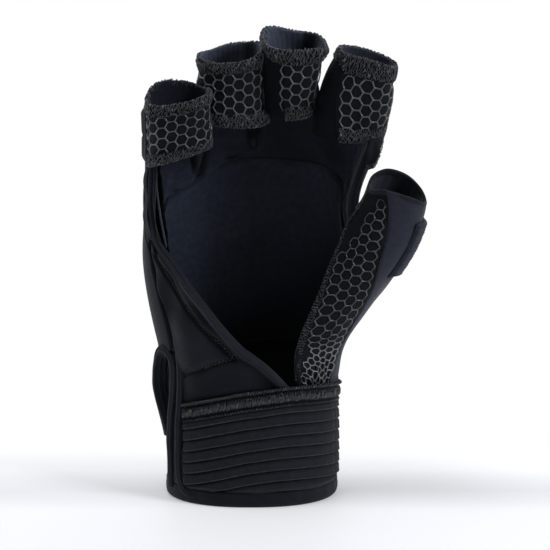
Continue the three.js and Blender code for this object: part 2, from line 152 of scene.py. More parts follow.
bpy.ops.object.select_all(action="DESELECT")
bpy.ops.mesh.primitive_circle_add(vertices=96, radius=2.2, fill_type="NGON")
floor = bpy.context.object
floor.name = "floor"
floor_paint, tree, shader = paint("white_table")
where = put(tree, "TexCoord").outputs["Object"]
depth = put(tree, "SeparateXYZ", {0: where}).outputs["Y"]
grain = put(tree, "TexNoise", {"Vector": where, "Scale": 900.0}).outputs["Fac"]
# The table glows with painted light, brought down in that band as a painted shadow and rising to plain white
# far off.
shadow = [(place, (grey, grey * 0.985, grey)) for place, grey in SHADOW]
shadow = [(0, (0.31, 0.31, 0.315)), *shadow, (1, (0.42, 0.42, 0.42))]
wire(tree, shader, {
    "Base Color": ramp(tree, grain, [(0, (0.78, 0.775, 0.79)), (1, (0.82, 0.815, 0.83))]),
    "Roughness": 0.55,
    "Emission Color": ramp(tree, rescale(tree, depth, -0.08, 0.06), shadow),
    "Emission Strength": 1.0,
})
band = rescale(tree, depth, 0.03, 0.06, interpolation_type="SMOOTHSTEP")
far = put(tree, "VectorMath", {0: where}, operation="LENGTH").outputs["Value"]
edge = put(tree, "Math", {0: band, 1: rescale(tree, far, 0.16, 0.32)}, operation="MAXIMUM")
glow = put(tree, "Emission", {"Color": WHITE, "Strength": 1.0})
fade = put(tree, "MixShader", {0: edge.outputs[0], 1: shader.outputs[0], 2: glow.outputs[0]})
wire(tree, tree.nodes["Material Output"], {"Surface": fade.outputs[0]})
floor.data.materials.append(floor_paint)
floor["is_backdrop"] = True

# Wrist binding: a soft knitted band, folded in two round the bottom of the cuff and
# sewn through. The glove stands on its lower fold.
CENTRE = (3.98, 0.2)  # the drawing's origin lies this far off the frame's, in mm
RIM_HEIGHT = 7.2
RIM_WALL = 3.4
RIM_SEAM = 4.6  # the height of its row of stitches
RIM_ARC = 0.6  # mm of the rim to a degree of turn
RING_RADIUS = 10  # of the ring that it is shaped from
HAND_BOXINESS = 2.3
HAND = [  # height, centre, half width to the little finger and to the thumb, half depth
    (0, -10.8, 39.4, 39.4, 28),
    (28, -10.8, 39.3, 39.3, 27.5),
    (56, -11.3, 40.1, 40.1, 26.5),
    (80, -12.6, 43, 48, 25.5),
    (98, -13.3, 45.3, 53.4, 25),
    (112, -13, 46.8, 53.4, 24.4),
    (130, -11.2, 48.4, 49.2, 23.5),
    (150, -7.1, 51.1, 51.1, 22.5),
    (182, -4.6, 53, 53, 21),
]


def follow(rows, at):
    """The columns of a table, read smoothly at places in its first column."""
    rows = np.asarray(rows, float)
    key = rows[:, 0]
    at = np.clip(at, key[0], key[-1])
    i = np.clip(np.searchsorted(key, at, side="right") - 1, 0, len(key) - 2)
    p, q = rows[i], rows[i + 1]
    before, after = rows[np.maximum(i - 1, 0)], rows[np.minimum(i + 2, len(rows) - 1)]
    span = (q[:, 0] - p[:, 0])[:, None]
    s = (at - p[:, 0])[:, None] / span
    start = (q - before) / (q[:, 0] - before[:, 0])[:, None] * span
    end = (after - p) / (after[:, 0] - p[:, 0])[:, None] * span
    made = p * (1 + 2 * s) * (1 - s) ** 2 + start * s * (1 - s) ** 2
    made += q * s**2 * (3 - 2 * s) + end * s**2 * (s - 1)
    return made[:, 1:].T


def oval(x, y, half_width, half_depth, turn, boxiness):
    """Points round an oval. Turn runs from the thumb's side by the back, in degrees."""
    c, s = np.cos(np.radians(turn)), np.sin(np.radians(turn))
    power = 2 / boxiness
    return (
        x + half_width(c) * np.sign(c) * np.abs(c) ** power - CENTRE[0],
        y + half_depth * np.sign(s) * np.abs(s) ** power - CENTRE[1],
    )


def hand(turn, z):
    """Points on the form of the hand, in mm."""
    x, little, thumb, depth = follow(HAND, z)
    width = lambda c: np.where(c > 0, thumb, little)
    return np.stack([*oval(x, 0, width, depth, turn, HAND_BOXINESS), z], 1)


def corners(piece):
    """A piece's vertices as an array."""
    flat = np.empty(len(piece.data.vertices) * 3)
    piece.data.vertices.foreach_get("co", flat)
    return flat.reshape(-1, 3)


def move(piece, points):
    """Puts a piece's vertices at these points."""
    piece.data.vertices.foreach_set("co", np.asarray(points, float).ravel())
    piece.data.update()


def chart(piece, places):
    """Keeps each vertex's place on the flat cloth, in mm, as the UV map."""
    used = np.empty(len(piece.data.loops), int)
    piece.data.loops.foreach_get("vertex_index", used)
    layer = piece.data.uv_layers.active or piece.data.uv_layers.new(name="flat_mm")
    layer.data.foreach_set("uv", places[used].ravel())


def sew_on(piece, materials, nodes=()):
    """Finishes a piece: smooth, in its materials, on the glove, standing for its nodes."""
    piece.data.polygons.foreach_set("use_smooth", [True] * len(piece.data.polygons))
    for material in materials:
        piece.data.materials.append(material)
    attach(piece, "root")
    if nodes:
        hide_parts(*nodes)


def ripple(x, y, size, seed):
    """Gentle folds about size mm long, between -1 and 1, the same for the same seed."""
    dice = np.random.default_rng(seed)
    total = np.zeros_like(x)
    for _ in range(7):
        heading, phase = dice.uniform(0, 2 * math.pi, 2)
        length = size * dice.uniform(0.6, 1.7)
        total += np.sin(2 * math.pi / length * (x * math.cos(heading) + y * math.sin(heading)) + phase)
    return total / 3.5


def ridge(x, at, wide):
    """A smooth ridge along x: 1 in its middle and almost 0 at twice this half width."""
    return np.exp(-(((x - at) / wide) ** 2))


def new_group(name, inputs, outputs):
    """A shader node group with named number inputs, and with number outputs."""
    group = bpy.data.node_groups.new(name, "ShaderNodeTree")
    group.interface.new_socket("Place", in_out="INPUT", socket_type="NodeSocketVector")
    for key, value in inputs.items():
        socket = group.interface.new_socket(key, in_out="INPUT", socket_type="NodeSocketFloat")
        socket.default_value = value
    for key in outputs:
        group.interface.new_socket(key, in_out="OUTPUT", socket_type="NodeSocketFloat")
    enter = group.nodes.new("NodeGroupInput")
    leave = group.nodes.new("NodeGroupOutput")
    return group, enter.outputs, leave.inputs


def sums(tree, operation, first, second=0.0):
    """The output of a Math node."""
    return put(tree, "Math", {0: first, 1: second}, operation=operation).outputs[0]


# Threads: rows and columns of loops this many mm apart, with fuzz between them.
threads, given, made = new_group(
    "threads", {"Column": 1.0, "Row": 1.0, "Fuzz": 0.4}, ("Height", "Fuzz")
)
parts = put(threads, "SeparateXYZ", {0: given["Place"]})
weave = 0.5
for axis, pitch in (("X", "Column"), ("Y", "Row")):
    turns = sums(threads, "DIVIDE", parts.outputs[axis], given[pitch])
    wave = sums(threads, "SINE", sums(threads, "MULTIPLY", turns, 2 * math.pi))
    weave = sums(threads, "ADD", sums(threads, "MULTIPLY", wave, 0.22), weave)
fuzz = put(threads, "TexNoise", {"Vector": given["Place"], "Scale": 3.2, "Detail": 3.0})
fuzz = sums(threads, "MULTIPLY", sums(threads, "SUBTRACT", fuzz.outputs["Fac"], 0.5), given["Fuzz"])
threads.links.new(sums(threads, "ADD", weave, fuzz), made["Height"])
blotch = put(threads, "TexNoise", {"Vector": given["Place"], "Scale": 0.35, "Detail": 4.0})
threads.links.new(blotch.outputs["Fac"], made["Fuzz"])


MIX_A, MIX_B, MIX_RESULT = 6, 7, 2  # the colour sockets of a Mix node


def cloth(name, dark, light, pitch, depth, rough, sheen, fuzz=0.5):
    """A cloth: two colours blotched together, with threads in its bump."""
    made, tree, shader = paint(name)
    flat = put(tree, "TexCoord").outputs["UV"]
    weave = {"Place": flat, "Column": pitch[0], "Row": pitch[1], "Fuzz": fuzz}
    weave = put(tree, "Group", weave, node_tree=threads)
    height, blotch = weave.outputs["Height"], weave.outputs["Fuzz"]
    tint = sums(tree, "MULTIPLY", rescale(tree, blotch, 0.3, 0.7), 0.5)
    share = sums(tree, "ADD", rescale(tree, height, 0.1, 0.9, 0.0, 0.5), tint)
    colours = {"Factor": share, MIX_A: (*dark, 1), MIX_B: (*light, 1)}
    bump = put(tree, "Bump", {"Height": height, "Strength": depth, "Distance": 0.0002})
    wire(tree, shader, {
        "Base Color": put(tree, "Mix", colours, data_type="RGBA").outputs[MIX_RESULT],
        "Roughness": rescale(tree, blotch, 0.0, 1.0, rough - 0.08, rough + 0.08),
        "Normal": bump.outputs[0],
        "Sheen Weight": sheen,
        "Sheen Roughness": 0.45,
        "Specular IOR Level": 0.14,
        "Specular Tint": (0.75, 0.87, 1.0, 1),
    })
    return made


def scale_colour(material, operation, by):
    """Works on the colour that a cloth's shader is given, as by scaling it."""
    tree = material.node_tree
    colour = tree.nodes["Principled BSDF"].inputs["Base Color"]
    deeper = put(tree, "VectorMath", {0: colour.links[0].from_socket, **by}, operation=operation)
    tree.links.new(deeper.outputs["Vector"], colour)


def paint_shade(material, direction, stops):
    """Paints shade into a cloth's colour along a direction: painted shade. The stops are places in mm and
    shares.
    """
    tree = material.node_tree
    where = put(tree, "TexCoord").outputs["Object"]
    run = put(tree, "VectorMath", {0: where, 1: direction}, operation="DOT_PRODUCT").outputs["Value"]
    first, last = stops[0][0], stops[-1][0]
    greys = [((place - first) / (last - first), (share,) * 3) for place, share in stops]
    scale_colour(material, "MULTIPLY", {1: ramp(tree, rescale(tree, run, first / 1000, last / 1000), greys)})


binding_cloth = cloth(
    "binding_cloth", (0.0060, 0.0069, 0.0105), (0.0160, 0.0175, 0.0245),
    pitch=(0.7, 0.55), depth=0.8, rough=0.8, sheen=0.1
)
# Painted shade along the width: darkest at the slit's loop, and darker across the front than on the thumb's
# side.
paint_shade(binding_cloth, (1, 0, 0), [
    (-60, 0.4), (-56.5, 0.5), (-54, 0.95), (-44, 0.95), (-34, 0.72), (-8, 0.78), (10, 1.0), (40, 1.0),
])

bpy.ops.object.select_all(action="DESELECT")
bpy.ops.mesh.primitive_torus_add(
    major_segments=300, minor_segments=28, major_radius=RING_RADIUS, minor_radius=1
)
rim = bpy.context.object
rim.name = rim.data.name = "wrist_binding"
ring = corners(rim)
turn = np.degrees(np.arctan2(ring[:, 1], ring[:, 0]))
inward = RING_RADIUS - np.hypot(ring[:, 0], ring[:, 1])
fold = np.arctan2(ring[:, 2], -inward)
c, s = np.cos(fold), np.sin(fold)
out = 0.5 - RIM_WALL / 2 + RIM_WALL / 2 * np.sign(c) * np.abs(c) ** 0.62
tall = RIM_HEIGHT / 2 * (1 + np.sign(s) * np.abs(s) ** 0.55)
pucker = ripple(turn * RIM_ARC, tall * 0.5, 7, 3) * np.clip(tall - 1, 0, 2) * 0.09
seam = -0.6 * ridge(tall, RIM_SEAM, 0.5) * (c > 0)
base, step = hand(turn, tall), 0.1
way = np.cross(hand(turn + step, tall) - base, np.tile([0, 0, 1.0], (len(turn), 1)))
way /= np.linalg.norm(way, axis=1)[:, None]
move(rim, (base + way * (out + pucker + seam)[:, None]) / 1000)
chart(rim, np.stack([turn * RIM_ARC, tall + fold], 1))
sew_on(rim, [binding_cloth], ["cuff_rim"])

# Cuff elastic: wide ribbed elastic round the front of the wrist. Each rib is a tube
# of knitting over rubber cords, and the ribs run level with the tape above them.
CUFF_TOP = [(200, 44), (222, 46), (254, 51), (274, 54), (298, 55.5), (340, 53.5), (380, 49.5)]
CUFF_ENDS = (223, 379)
TAPE_HEIGHT = 9.5
TAPE_LAP = 0.4  # how far the tape laps over the elastic
RIM_LAP = 0.8  # how far the elastic goes down behind the wrist's binding
ELASTIC_HEIGHT = 38.0
RIB_PITCH = 5.2
LOOP_PITCH = 1.05
CORD_AT, GROOVE_AT = 0.84, 0.97  # the shares of a rib where they lie


def grid(name, across, up):
    """A flat square of so many cells, and its vertices' places from 0 to 1."""
    bpy.ops.object.select_all(action="DESELECT")
    bpy.ops.mesh.primitive_grid_add(x_subdivisions=across, y_subdivisions=up, size=1)
    square = bpy.context.object
    square.name = square.data.name = name
    return square, corners(square) + [0.5, 0.5, 0]


def cut(name, width, height, cell):
    """A flat panel of cloth, from its lower left corner, woven of square cells."""
    panel, share = grid(name, max(2, round(width / cell)), max(2, round(height / cell)))
    move(panel, share * [width, height, 1])
    return panel


def slack(flat, size, seed):
    """The gentle folds of a flat panel, size mm long."""
    return ripple(flat[:, 0], flat[:, 1], size, seed)


def choose(piece):
    """Makes a piece the only one that the operators work on."""
    bpy.ops.object.select_all(action="DESELECT")
    piece.select_set(True)
    bpy.context.view_layer.objects.active = piece


def carry_out(piece, kind, **settings):
    """Adds a modifier with its settings and applies it."""
    choose(piece)
    modifier = piece.modifiers.new(kind.lower(), kind)
    for key, value in settings.items():
        setattr(modifier, key, value)
    bpy.ops.object.modifier_apply(modifier=modifier.name)


def unit(vectors):
    """The vectors at a length of 1."""
    return vectors / (np.linalg.norm(vectors, axis=1)[:, None] + 1e-12)


def wrap(piece, form, width, height):
    """Lays a flat piece on a form. In the flat, x and y run over the form from its
    corner and z stands off it, in mm. The flat place is kept as the UV map."""
    flat = corners(piece)
    u, v = flat[:, 0] / width, flat[:, 1] / height
    step = 1e-3
    along = form(u + step, v) - form(u - step, v)
    up = form(u, v + step) - form(u, v - step)
    move(piece, (form(u, v) + unit(np.cross(along, up)) * flat[:, 2:]) / 1000)
    chart(piece, flat[:, :2])


def lay(piece, flat, form, width, height, wall, side=-1, **finish):
    """Lays a shaped flat panel on a form, with a wall under its face, or over it at 1."""
    move(piece, flat)
    wrap(piece, form, width, height)
    carry_out(piece, "SOLIDIFY", thickness=wall / 1000, offset=side, **finish)


def run_of(points, power=1):
    """How far along a line of points each of them lies."""
    steps = np.linalg.norm(np.diff(points, axis=0), axis=1)
    return np.concatenate([[0], np.cumsum(steps**power)])


def measure(form, height=0.5):
    """A form with its first share run evenly along the arc, and its width in mm."""
    shares = np.linspace(0, 1, 600)
    length = run_of(form(shares, np.full(600, height)))
    even = length / length[-1]

    def evenly(u, v):
        return form(np.interp(u, even, shares) + np.minimum(u, 0) + np.maximum(u - 1, 0), v)

    return evenly, length[-1]


def takes_painted_light(material):
    """Lets a cloth's colour follow the painted light and shade that its piece carries."""
    painted_light = put(material.node_tree, "Attribute", attribute_name="painted_light").outputs["Fac"]
    scale_colour(material, "SCALE", {"Scale": painted_light})


def set_painted_light(piece, shares):
    """Writes the painted light and shade at each vertex of a piece: 1 leaves its colour as it is."""
    layer = piece.data.attributes.new("painted_light", "FLOAT", "POINT")
    layer.data.foreach_set("value", np.asarray(shares, float))


def cuff_turn(u):
    return CUFF_ENDS[0] + (CUFF_ENDS[1] - CUFF_ENDS[0]) * u


def elastic_top(turn):
    return follow(CUFF_TOP, turn)[0] - TAPE_HEIGHT + TAPE_LAP


def elastic_form(u, v):
    turn, low = cuff_turn(u), RIM_HEIGHT - RIM_LAP
    return hand(turn, low + (elastic_top(turn) - low) * v)


elastic_cloth = cloth(
    "ribbed_elastic", (0.0062, 0.0072, 0.0099), (0.0187, 0.0207, 0.0255),
    pitch=(0.85, 0.4), depth=1.0, rough=0.75, sheen=0.1
)
takes_painted_light(elastic_cloth)
elastic_even, elastic_width = measure(elastic_form)
elastic = cut("cuff_elastic_ribs", elastic_width, ELASTIC_HEIGHT, 0.34)
flat = corners(elastic)
tall = elastic_top(cuff_turn(flat[:, 0] / elastic_width)) - RIM_HEIGHT + RIM_LAP
drop = tall * (1 - flat[:, 1] / ELASTIC_HEIGHT)
share = ((drop + 2.2 + 0.12 * slack(flat, 40, 5)) / RIB_PITCH) % 1
rib = 1 - np.abs(2 * share - 1) ** 4.5
loop = 0.09 * np.sin(2 * math.pi * flat[:, 0] / LOOP_PITCH) * rib
cord = 0.45 * ridge(share, CORD_AT, 0.075)
flat[:, 2] = -0.55 + 1.75 * rib**0.8 + loop + cord + 0.1 * slack(flat, 18, 8)
flat[:, 2] -= 1.8 * np.clip(1 - flat[:, 1] / 2.5, 0, 1)  # tucked in behind the binding
# Painted light along the ribs: a painted highlight on each cord and painted shade in each groove.
set_painted_light(elastic, 1 + 2.0 * ridge(share, CORD_AT, 0.05) - 0.8 * ridge(share, GROOVE_AT, 0.07))
lay(elastic, flat, elastic_even, elastic_width, ELASTIC_HEIGHT, wall=1.5)
sew_on(elastic, [elastic_cloth], ["cuff_elastic"])

# Cuff tape: the turned and overlocked top of the elastic. A cord of thread runs along
# its edge, over a zigzag, a close hem, a band of satin stitches and a twisted row.
tape_thread, tree, shader = paint("sewing_thread")
where = put(tree, "TexCoord").outputs["Object"]
shine = put(tree, "TexNoise", {"Vector": where, "Scale": 700.0, "Detail": 2.0}).outputs["Fac"]
ply = put(tree, "TexWave", {"Vector": where, "Scale": 420.0, "Distortion": 3.0})
twist = put(tree, "Bump", {"Height": ply.outputs["Fac"], "Strength": 0.5, "Distance": 0.0001})
# The threads' tone varies at random; the near-white flecks are painted glints.
dull, pale, painted_glint = (0.0075, 0.0083, 0.0108), (0.039, 0.042, 0.049), (0.21, 0.218, 0.23)
wire(tree, shader, {
    "Base Color": ramp(tree, shine, [(0.35, dull), (0.6, pale), (0.75, painted_glint)]),
    "Roughness": rescale(tree, shine, 0.0, 1.0, 0.62, 0.36),
    "Normal": twist.outputs[0],
    "Sheen Weight": 0.08,
})


def merge(piece, distance=1e-5):
    """Joins the vertices that lie on each other, as along a closed seam."""
    choose(piece)
    bpy.ops.object.mode_set(mode="EDIT")
    bpy.ops.mesh.select_all(action="SELECT")
    bpy.ops.mesh.remove_doubles(threshold=distance)
    bpy.ops.object.mode_set(mode="OBJECT")


def stitches(name, count, pitch, length, radius, slant=0.0, arch=0.0, jitter=0.0, seed=1):
    """A row of threads side by side along x, each lying along y and leaning by slant.
    One thread is shaped, then copied, and each copy is a little different."""
    sides, rings = 5, 9
    row, one = grid(name, sides, rings)
    round_it, share = one[:, 0] * 2 * math.pi, one[:, 1]
    thick = radius * np.clip(4 * share * (1 - share) * 1.6, 0, 1) ** 0.5
    x = -thick * np.cos(round_it) + pitch / 2
    z = thick * np.sin(round_it) + arch * 4 * share * (1 - share)
    move(row, np.stack([x, share * length, z], 1))
    merge(row, radius * 0.02)
    carry_out(row, "ARRAY", count=count, use_relative_offset=False,
              use_constant_offset=True, constant_offset_displace=(pitch, 0, 0))
    made = corners(row)
    each = np.arange(len(made)) // (len(made) // count)
    dice = np.random.default_rng(seed)
    lean, shift, high, late = (dice.normal(0, jitter, count)[each] for _ in range(4))
    made[:, 0] += (slant + lean * pitch) * (made[:, 1] / length - 0.5) + shift * pitch * 0.3
    made[:, 1] = made[:, 1] * (1 + 0.25 * late) + 0.2 * length * late
    made[:, 2] += radius * (0.5 + high)
    move(row, made)
    return row


def join(name, pieces):
    """Makes one piece of several."""
    bpy.ops.object.select_all(action="DESELECT")
    for piece in pieces:
        piece.select_set(True)
    bpy.context.view_layer.objects.active = pieces[0]
    bpy.ops.object.join()
    pieces[0].name = pieces[0].data.name = name
    return pieces[0]


def shift(piece, x=0.0, y=0.0, z=0.0):
    """Moves a flat piece's vertices."""
    move(piece, corners(piece) + [x, y, z])
    return piece


def tape_form(u, v):
    turn = cuff_turn(u)
    return hand(turn, elastic_top(turn) + TAPE_HEIGHT * v)


def tape_swell(flat):
    """How far the tape stands off the hand at a place on it."""
    y = flat[:, 1]
    cord, groove = 0.6 * ridge(y, 8.9, 0.7), -1.1 * ridge(y, 7.5, 0.6)
    band = 0.45 * np.clip(1 - ((y - 4.8) / 2.2) ** 6, 0, 1)
    low = -0.6 * ridge(y, 2.1, 0.45)
    return 0.9 + cord + groove + band + low + 0.08 * slack(flat, 16, 4)


tape_cloth = cloth(
    "tape_cloth", (0.0024, 0.0028, 0.0040), (0.0076, 0.0085, 0.0115),
    pitch=(0.85, 0.4), depth=1.0, rough=0.8, sheen=0.04
)
tape_even, tape_width = measure(tape_form)
tape = cut("cuff_tape_band", tape_width, TAPE_HEIGHT, 0.36)
flat = corners(tape)
flat[:, 2] = tape_swell(flat)
lay(tape, flat, tape_even, tape_width, TAPE_HEIGHT, wall=1.2)
sew_on(tape, [tape_cloth], ["cuff_tape"])

TAPE_ROWS = [  # pitch, length, radius, slant, arch, jitter and seed of the threads; x and y
    ("cord", 1.15, 1.5, 0.34, 1.1, 0.45, 0.14, 2, 0, 8.2),
    ("zig", 1.7, 1.7, 0.11, 0.85, 0.3, 0.08, 3, 0, 6.6),
    ("zag", 1.7, 1.7, 0.11, -0.85, 0.3, 0.08, 8, 0.85, 6.6),
    ("hem", 1.15, 1.0, 0.26, 0.9, 0.2, 0.14, 7, 0, 6.0),
    ("satin", 0.7, 3.2, 0.3, 0.45, 0.15, 0.28, 5, 0, 2.9),
    ("twist", 1.2, 1.2, 0.26, -1.0, 0.25, 0.14, 6, 0, 0.6),
]
tape_sewing = join("cuff_tape_stitches", [
    shift(stitches(name, int(tape_width / pitch), pitch, *thread), x, y)
    for name, pitch, *thread, x, y in TAPE_ROWS
])
flat = corners(tape_sewing)
flat[:, 2] += tape_swell(flat)
move(tape_sewing, flat)
wrap(tape_sewing, tape_even, tape_width, TAPE_HEIGHT)
sew_on(tape_sewing, [tape_thread])

# Back of the hand: foam-backed neoprene from the wrist to the knuckles. Its smooth
# knitted face is outside, and the lining is sewn in as a sheet of its own.
SHELL_EDGES = [
    (0, 22, 222), (24, 22, 222), (30, 22, 200), (40, 22, 185.5), (54, 24, 182.5),
    (60, 26, 184), (64, 26, 187), (66.2, 26, 196), (68.2, 26, 207), (71, 26, 217),
    (95, 21.5, 212.5), (106, 14, 208.5), (115, 9, 204), (122, 2.2, 194), (132, -7, 190),
    (150, -16, 189.5), (182, -16, 189.5),
]
SHELL_TOP = [
    (-20, 162.5), (20, 165.5), (36, 173), (47, 175.2), (62, 175.4), (70, 182), (80, 184.5),
    (85, 183.5), (91, 180), (108, 179.3), (118, 177), (125, 171), (132, 163), (145, 160.4),
    (170, 156.2), (195, 153),
]
SHELL_LOW, SHELL_HIGH, KNUCKLES = 7.6, 174, 118
SHELL_WALL = 4.2


def ease(t):
    t = np.clip(t, 0, 1)
    return t * t * (3 - 2 * t)


def shell_form(u, v):
    row = SHELL_LOW + (SHELL_HIGH - SHELL_LOW) * v
    thumb, little = follow(SHELL_EDGES, row)
    turn = thumb + (little - thumb) * u
    above = np.clip((row - KNUCKLES) / (SHELL_HIGH - KNUCKLES), 0, 1.05)
    z = row + (follow(SHELL_TOP, turn)[0] - SHELL_HIGH) * above**1.5
    point = hand(turn, z)
    gape = 3.6 * ease(1 - np.abs(z - 50) / 21) * ease((turn - 150) / 40)  # the slit stands open
    waist = 2.6 * ease(1 - np.abs(z - 144) / 18) * ease((45 - turn) / 50)  # beside the thumb
    point[:, 0] -= gape + waist
    point[:, 1] -= 3.4 * ease((v - 0.93) / 0.07) * ease(turn / 40)  # tucked into the fingers
    return point


neoprene = cloth(
    "neoprene_jersey", (0.0058, 0.0064, 0.0095), (0.0135, 0.0145, 0.0205),
    pitch=(0.42, 0.5), depth=0.45, rough=0.78, sheen=0.14
)
# Painted shade: the neoprene is darker at the little finger's edge.
paint_shade(neoprene, (1, 0, 0), [(-64, 0.54), (-55, 0.58), (-48, 1.0), (0, 1.0)])
shell_even, shell_width = measure(shell_form)
SHELL_HEIGHT = SHELL_HIGH - SHELL_LOW
shell = cut("back_of_hand", shell_width, SHELL_HEIGHT, 1.1)
flat = corners(shell)
flat[:, 2] = 0.35 * slack(flat, 40, 11)
lay(shell, flat, shell_even, shell_width, SHELL_HEIGHT, wall=3.6)
sew_on(shell, [neoprene], ["back_shell"])

# Lining: a thin navy jersey inside the back. It wrinkles below the fingers and
# slackens at the sides, where nothing pulls on it.
LINING_FOLDS = [  # turn and height of both ends, half width in mm and depth
    (131, 160, 130, 147, 6.0, 3.2),
    (134.8, 157, 132.6, 147, 0.95, -3.6),
    (125, 158, 129.5, 143, 1.25, -3.8),
    (129.5, 143, 131.8, 138, 0.9, -1.2),
    (96, 168, 94, 160, 4.5, 3.0),
    (98.5, 167, 96.3, 158, 0.95, -3.6),
    (92, 167, 94.8, 158, 1.1, -3.2),
    (111, 154.5, 105, 156, 2.6, 1.8),
    (111, 153, 105, 154.2, 0.8, -2.2),
    (147.2, 139.5, 138.8, 140.5, 2.2, 1.2),
    (147.2, 138.5, 138.8, 139, 0.7, -1.4),
    (152, 146, 158, 128, 1.6, 0.8),
    (60, 160, 40, 150, 3.0, 1.2),
    (33, 150, 18, 128, 3.5, 1.0),
]
# The creases are painted shade: dark lines painted into the lining beside its folds.
CREASES = [  # turn and height of both ends, and half width: the dark lines beside the folds
    (134.8, 158, 132.6, 148, 1.3), (125.3, 158, 128.3, 149, 1.6), (128.3, 149, 130.2, 143, 1.1),
    (130.2, 143, 132, 138, 0.6), (98.5, 167.5, 96.3, 159.5, 1.3), (92, 167.5, 94.8, 159, 1.4),
    (95.5, 167.5, 95.5, 161, 1.5), (111, 153, 105.5, 154.4, 1.1), (147.2, 138.5, 138.8, 139.2, 0.4),
]
LINING_ARC = 0.55  # mm of the lining to a degree of turn
lining_jersey = cloth(
    "lining_jersey", (0.0086, 0.0110, 0.0185), (0.0264, 0.0314, 0.0495),
    pitch=(0.8, 0.62), depth=0.5, rough=0.85, sheen=0.16
)
takes_painted_light(lining_jersey)
# Painted shade: the lining is darker across the middle of the hand and far darker low in the hollow, where
# little light reaches.
paint_shade(lining_jersey, (1, 0, 0), [
    (-62, 1.0), (-36, 0.85), (-20, 0.5), (-2, 0.34), (22, 0.42), (31, 1.0), (42, 1.0),
])
paint_shade(lining_jersey, (0, 0, 1), [(50, 0.1), (85, 0.12), (105, 0.6), (118, 1.0), (160, 1.0)])
# A darker copy of the lining for the little finger's inside, which lies in shade: painted shade.
shaded_little_lining = cloth(
    "shaded_little_lining", (0.0058, 0.0076, 0.0125), (0.0175, 0.0210, 0.0330),
    pitch=(0.8, 0.62), depth=0.5, rough=0.85, sheen=0.16
)
# A much lighter copy of the lining for the fingers' and thumb's insides, standing in for light falling into
# them: painted light. Its stops paint shade in bands at folds inside the fingers and towards the index and
# thumb.
lit_finger_lining = cloth(
    "lit_finger_lining", (0.050, 0.058, 0.085), (0.098, 0.113, 0.160),
    pitch=(2.4, 0.8), depth=0.6, rough=0.85, sheen=0.25
)
paint_shade(lit_finger_lining, (1, 0, 0), [
    (-64, 0.55), (-50, 0.6), (-40, 1.0), (-19, 0.95), (-16.5, 0.22), (-13.5, 0.25), (-11, 0.9),
    (7.5, 1.0), (9.5, 0.2), (13.5, 0.2), (16, 0.7), (28, 0.62), (34, 0.42), (60, 0.28),
])


def beside(points, a, b):
    """How far along the line from a to b each point lies, as a share, and how far off it."""
    along = np.clip(((points - a) @ (b - a)) / ((b - a) @ (b - a)), 0, 1)
    return along, np.linalg.norm(points - a - along[:, None] * (b - a), axis=1)


def fold_lift(points, folds):
    """How high the folds stand at these points of turn and height."""
    size, lift = np.array([LINING_ARC, 1]), np.zeros(len(points))
    for turn_a, z_a, turn_b, z_b, wide, high in folds:
        along, away = beside(points * size, [turn_a, z_a] * size, [turn_b, z_b] * size)
        middle = along * 0.8 + 0.1
        lift += high * np.sqrt(np.clip(4 * middle * (1 - middle), 0, 1)) * ridge(away, 0, wide)
    return lift


lining = cut("palm_lining", shell_width, SHELL_HEIGHT, 0.75)
flat = corners(lining)
on_form = shell_even(flat[:, 0] / shell_width, flat[:, 1] / SHELL_HEIGHT)
round_it = np.degrees(np.arctan2(on_form[:, 1] * 1.9, on_form[:, 0] + 10)) % 360
places = np.stack([round_it, on_form[:, 2]], 1)
# Painted shade in the creases.
dark = fold_lift(places, [(*crease, 1) for crease in CREASES])
set_painted_light(lining, 1 - 0.9 * np.clip(dark, 0, 1))
flat[:, 2] = -SHELL_WALL - 0.35 - fold_lift(places, LINING_FOLDS)
flat[:, 2] -= 0.45 * slack(flat, 26, 21) + 0.12 * slack(flat, 9, 22)
over = ease((on_form[:, 2] - 104) / 12)  # it turns over the shell's thumb edge
flat[:, 2] += (SHELL_WALL + 0.2) * over * ease(1 - flat[:, 0] / 2.4)
flat[:, 0] -= 1.1 * over * np.clip(1 - flat[:, 0] / 3, 0, 1)
lay(lining, flat, shell_even, shell_width, SHELL_HEIGHT, wall=0.6, side=1)
sew_on(lining, [lining_jersey], ["back_shell"])

# Lining panel: a second layer with a rounded outline, over thin foam, sewn round the
# edge, so that it stands up from the lining as a soft arch.
PANEL_TOP = [  # turn and height of the panel's upper edge, from the thumb's side
    (18, 118), (19.5, 128), (23, 135), (29, 139.5), (42, 144.5), (57.8, 149.5), (76, 152),
    (88.8, 152.7), (102.2, 151.5), (117.2, 146), (135, 139), (151.5, 132), (160, 118),
]
PANEL_BOTTOM = 60
ARCH_HEIGHT = 86.0


def arch_form(u, v):
    """The lining panel: its sides and top are one arch, and its lower edge is level."""
    turn, top = follow([(i, *row) for i, row in enumerate(PANEL_TOP)], u * (len(PANEL_TOP) - 1))
    low = PANEL_BOTTOM + 6 * (2 * u - 1) ** 2
    return hand(turn, low + (top - low) * v)


# A lighter copy of the lining jersey for the raised panel: painted light. Its stops are painted shade,
# darker to the right and below a slanted line, the painted shadow of the thumb.
panel_jersey = cloth(
    "panel_jersey", (0.0112, 0.0144, 0.0243), (0.0341, 0.0409, 0.0645),
    pitch=(0.8, 0.62), depth=0.5, rough=0.85, sheen=0.16
)
paint_shade(panel_jersey, (1, 0, 0), [
    (-55, 1.0), (-40, 0.86), (-30, 0.55), (-14, 0.4), (2, 0.52), (18, 0.64), (40, 0.7),
])
paint_shade(panel_jersey, (-0.74, 0, 1), [(58, 0.12), (78, 0.22), (93, 0.55), (112, 0.9), (135, 1.0)])
arch_even, arch_width = measure(arch_form, 0.6)
panel = cut("palm_lining_panel", arch_width, ARCH_HEIGHT, 0.9)
flat = corners(panel)
edge = np.minimum.reduce([flat[:, 0], arch_width - flat[:, 0], ARCH_HEIGHT - flat[:, 1], flat[:, 1] / 6])
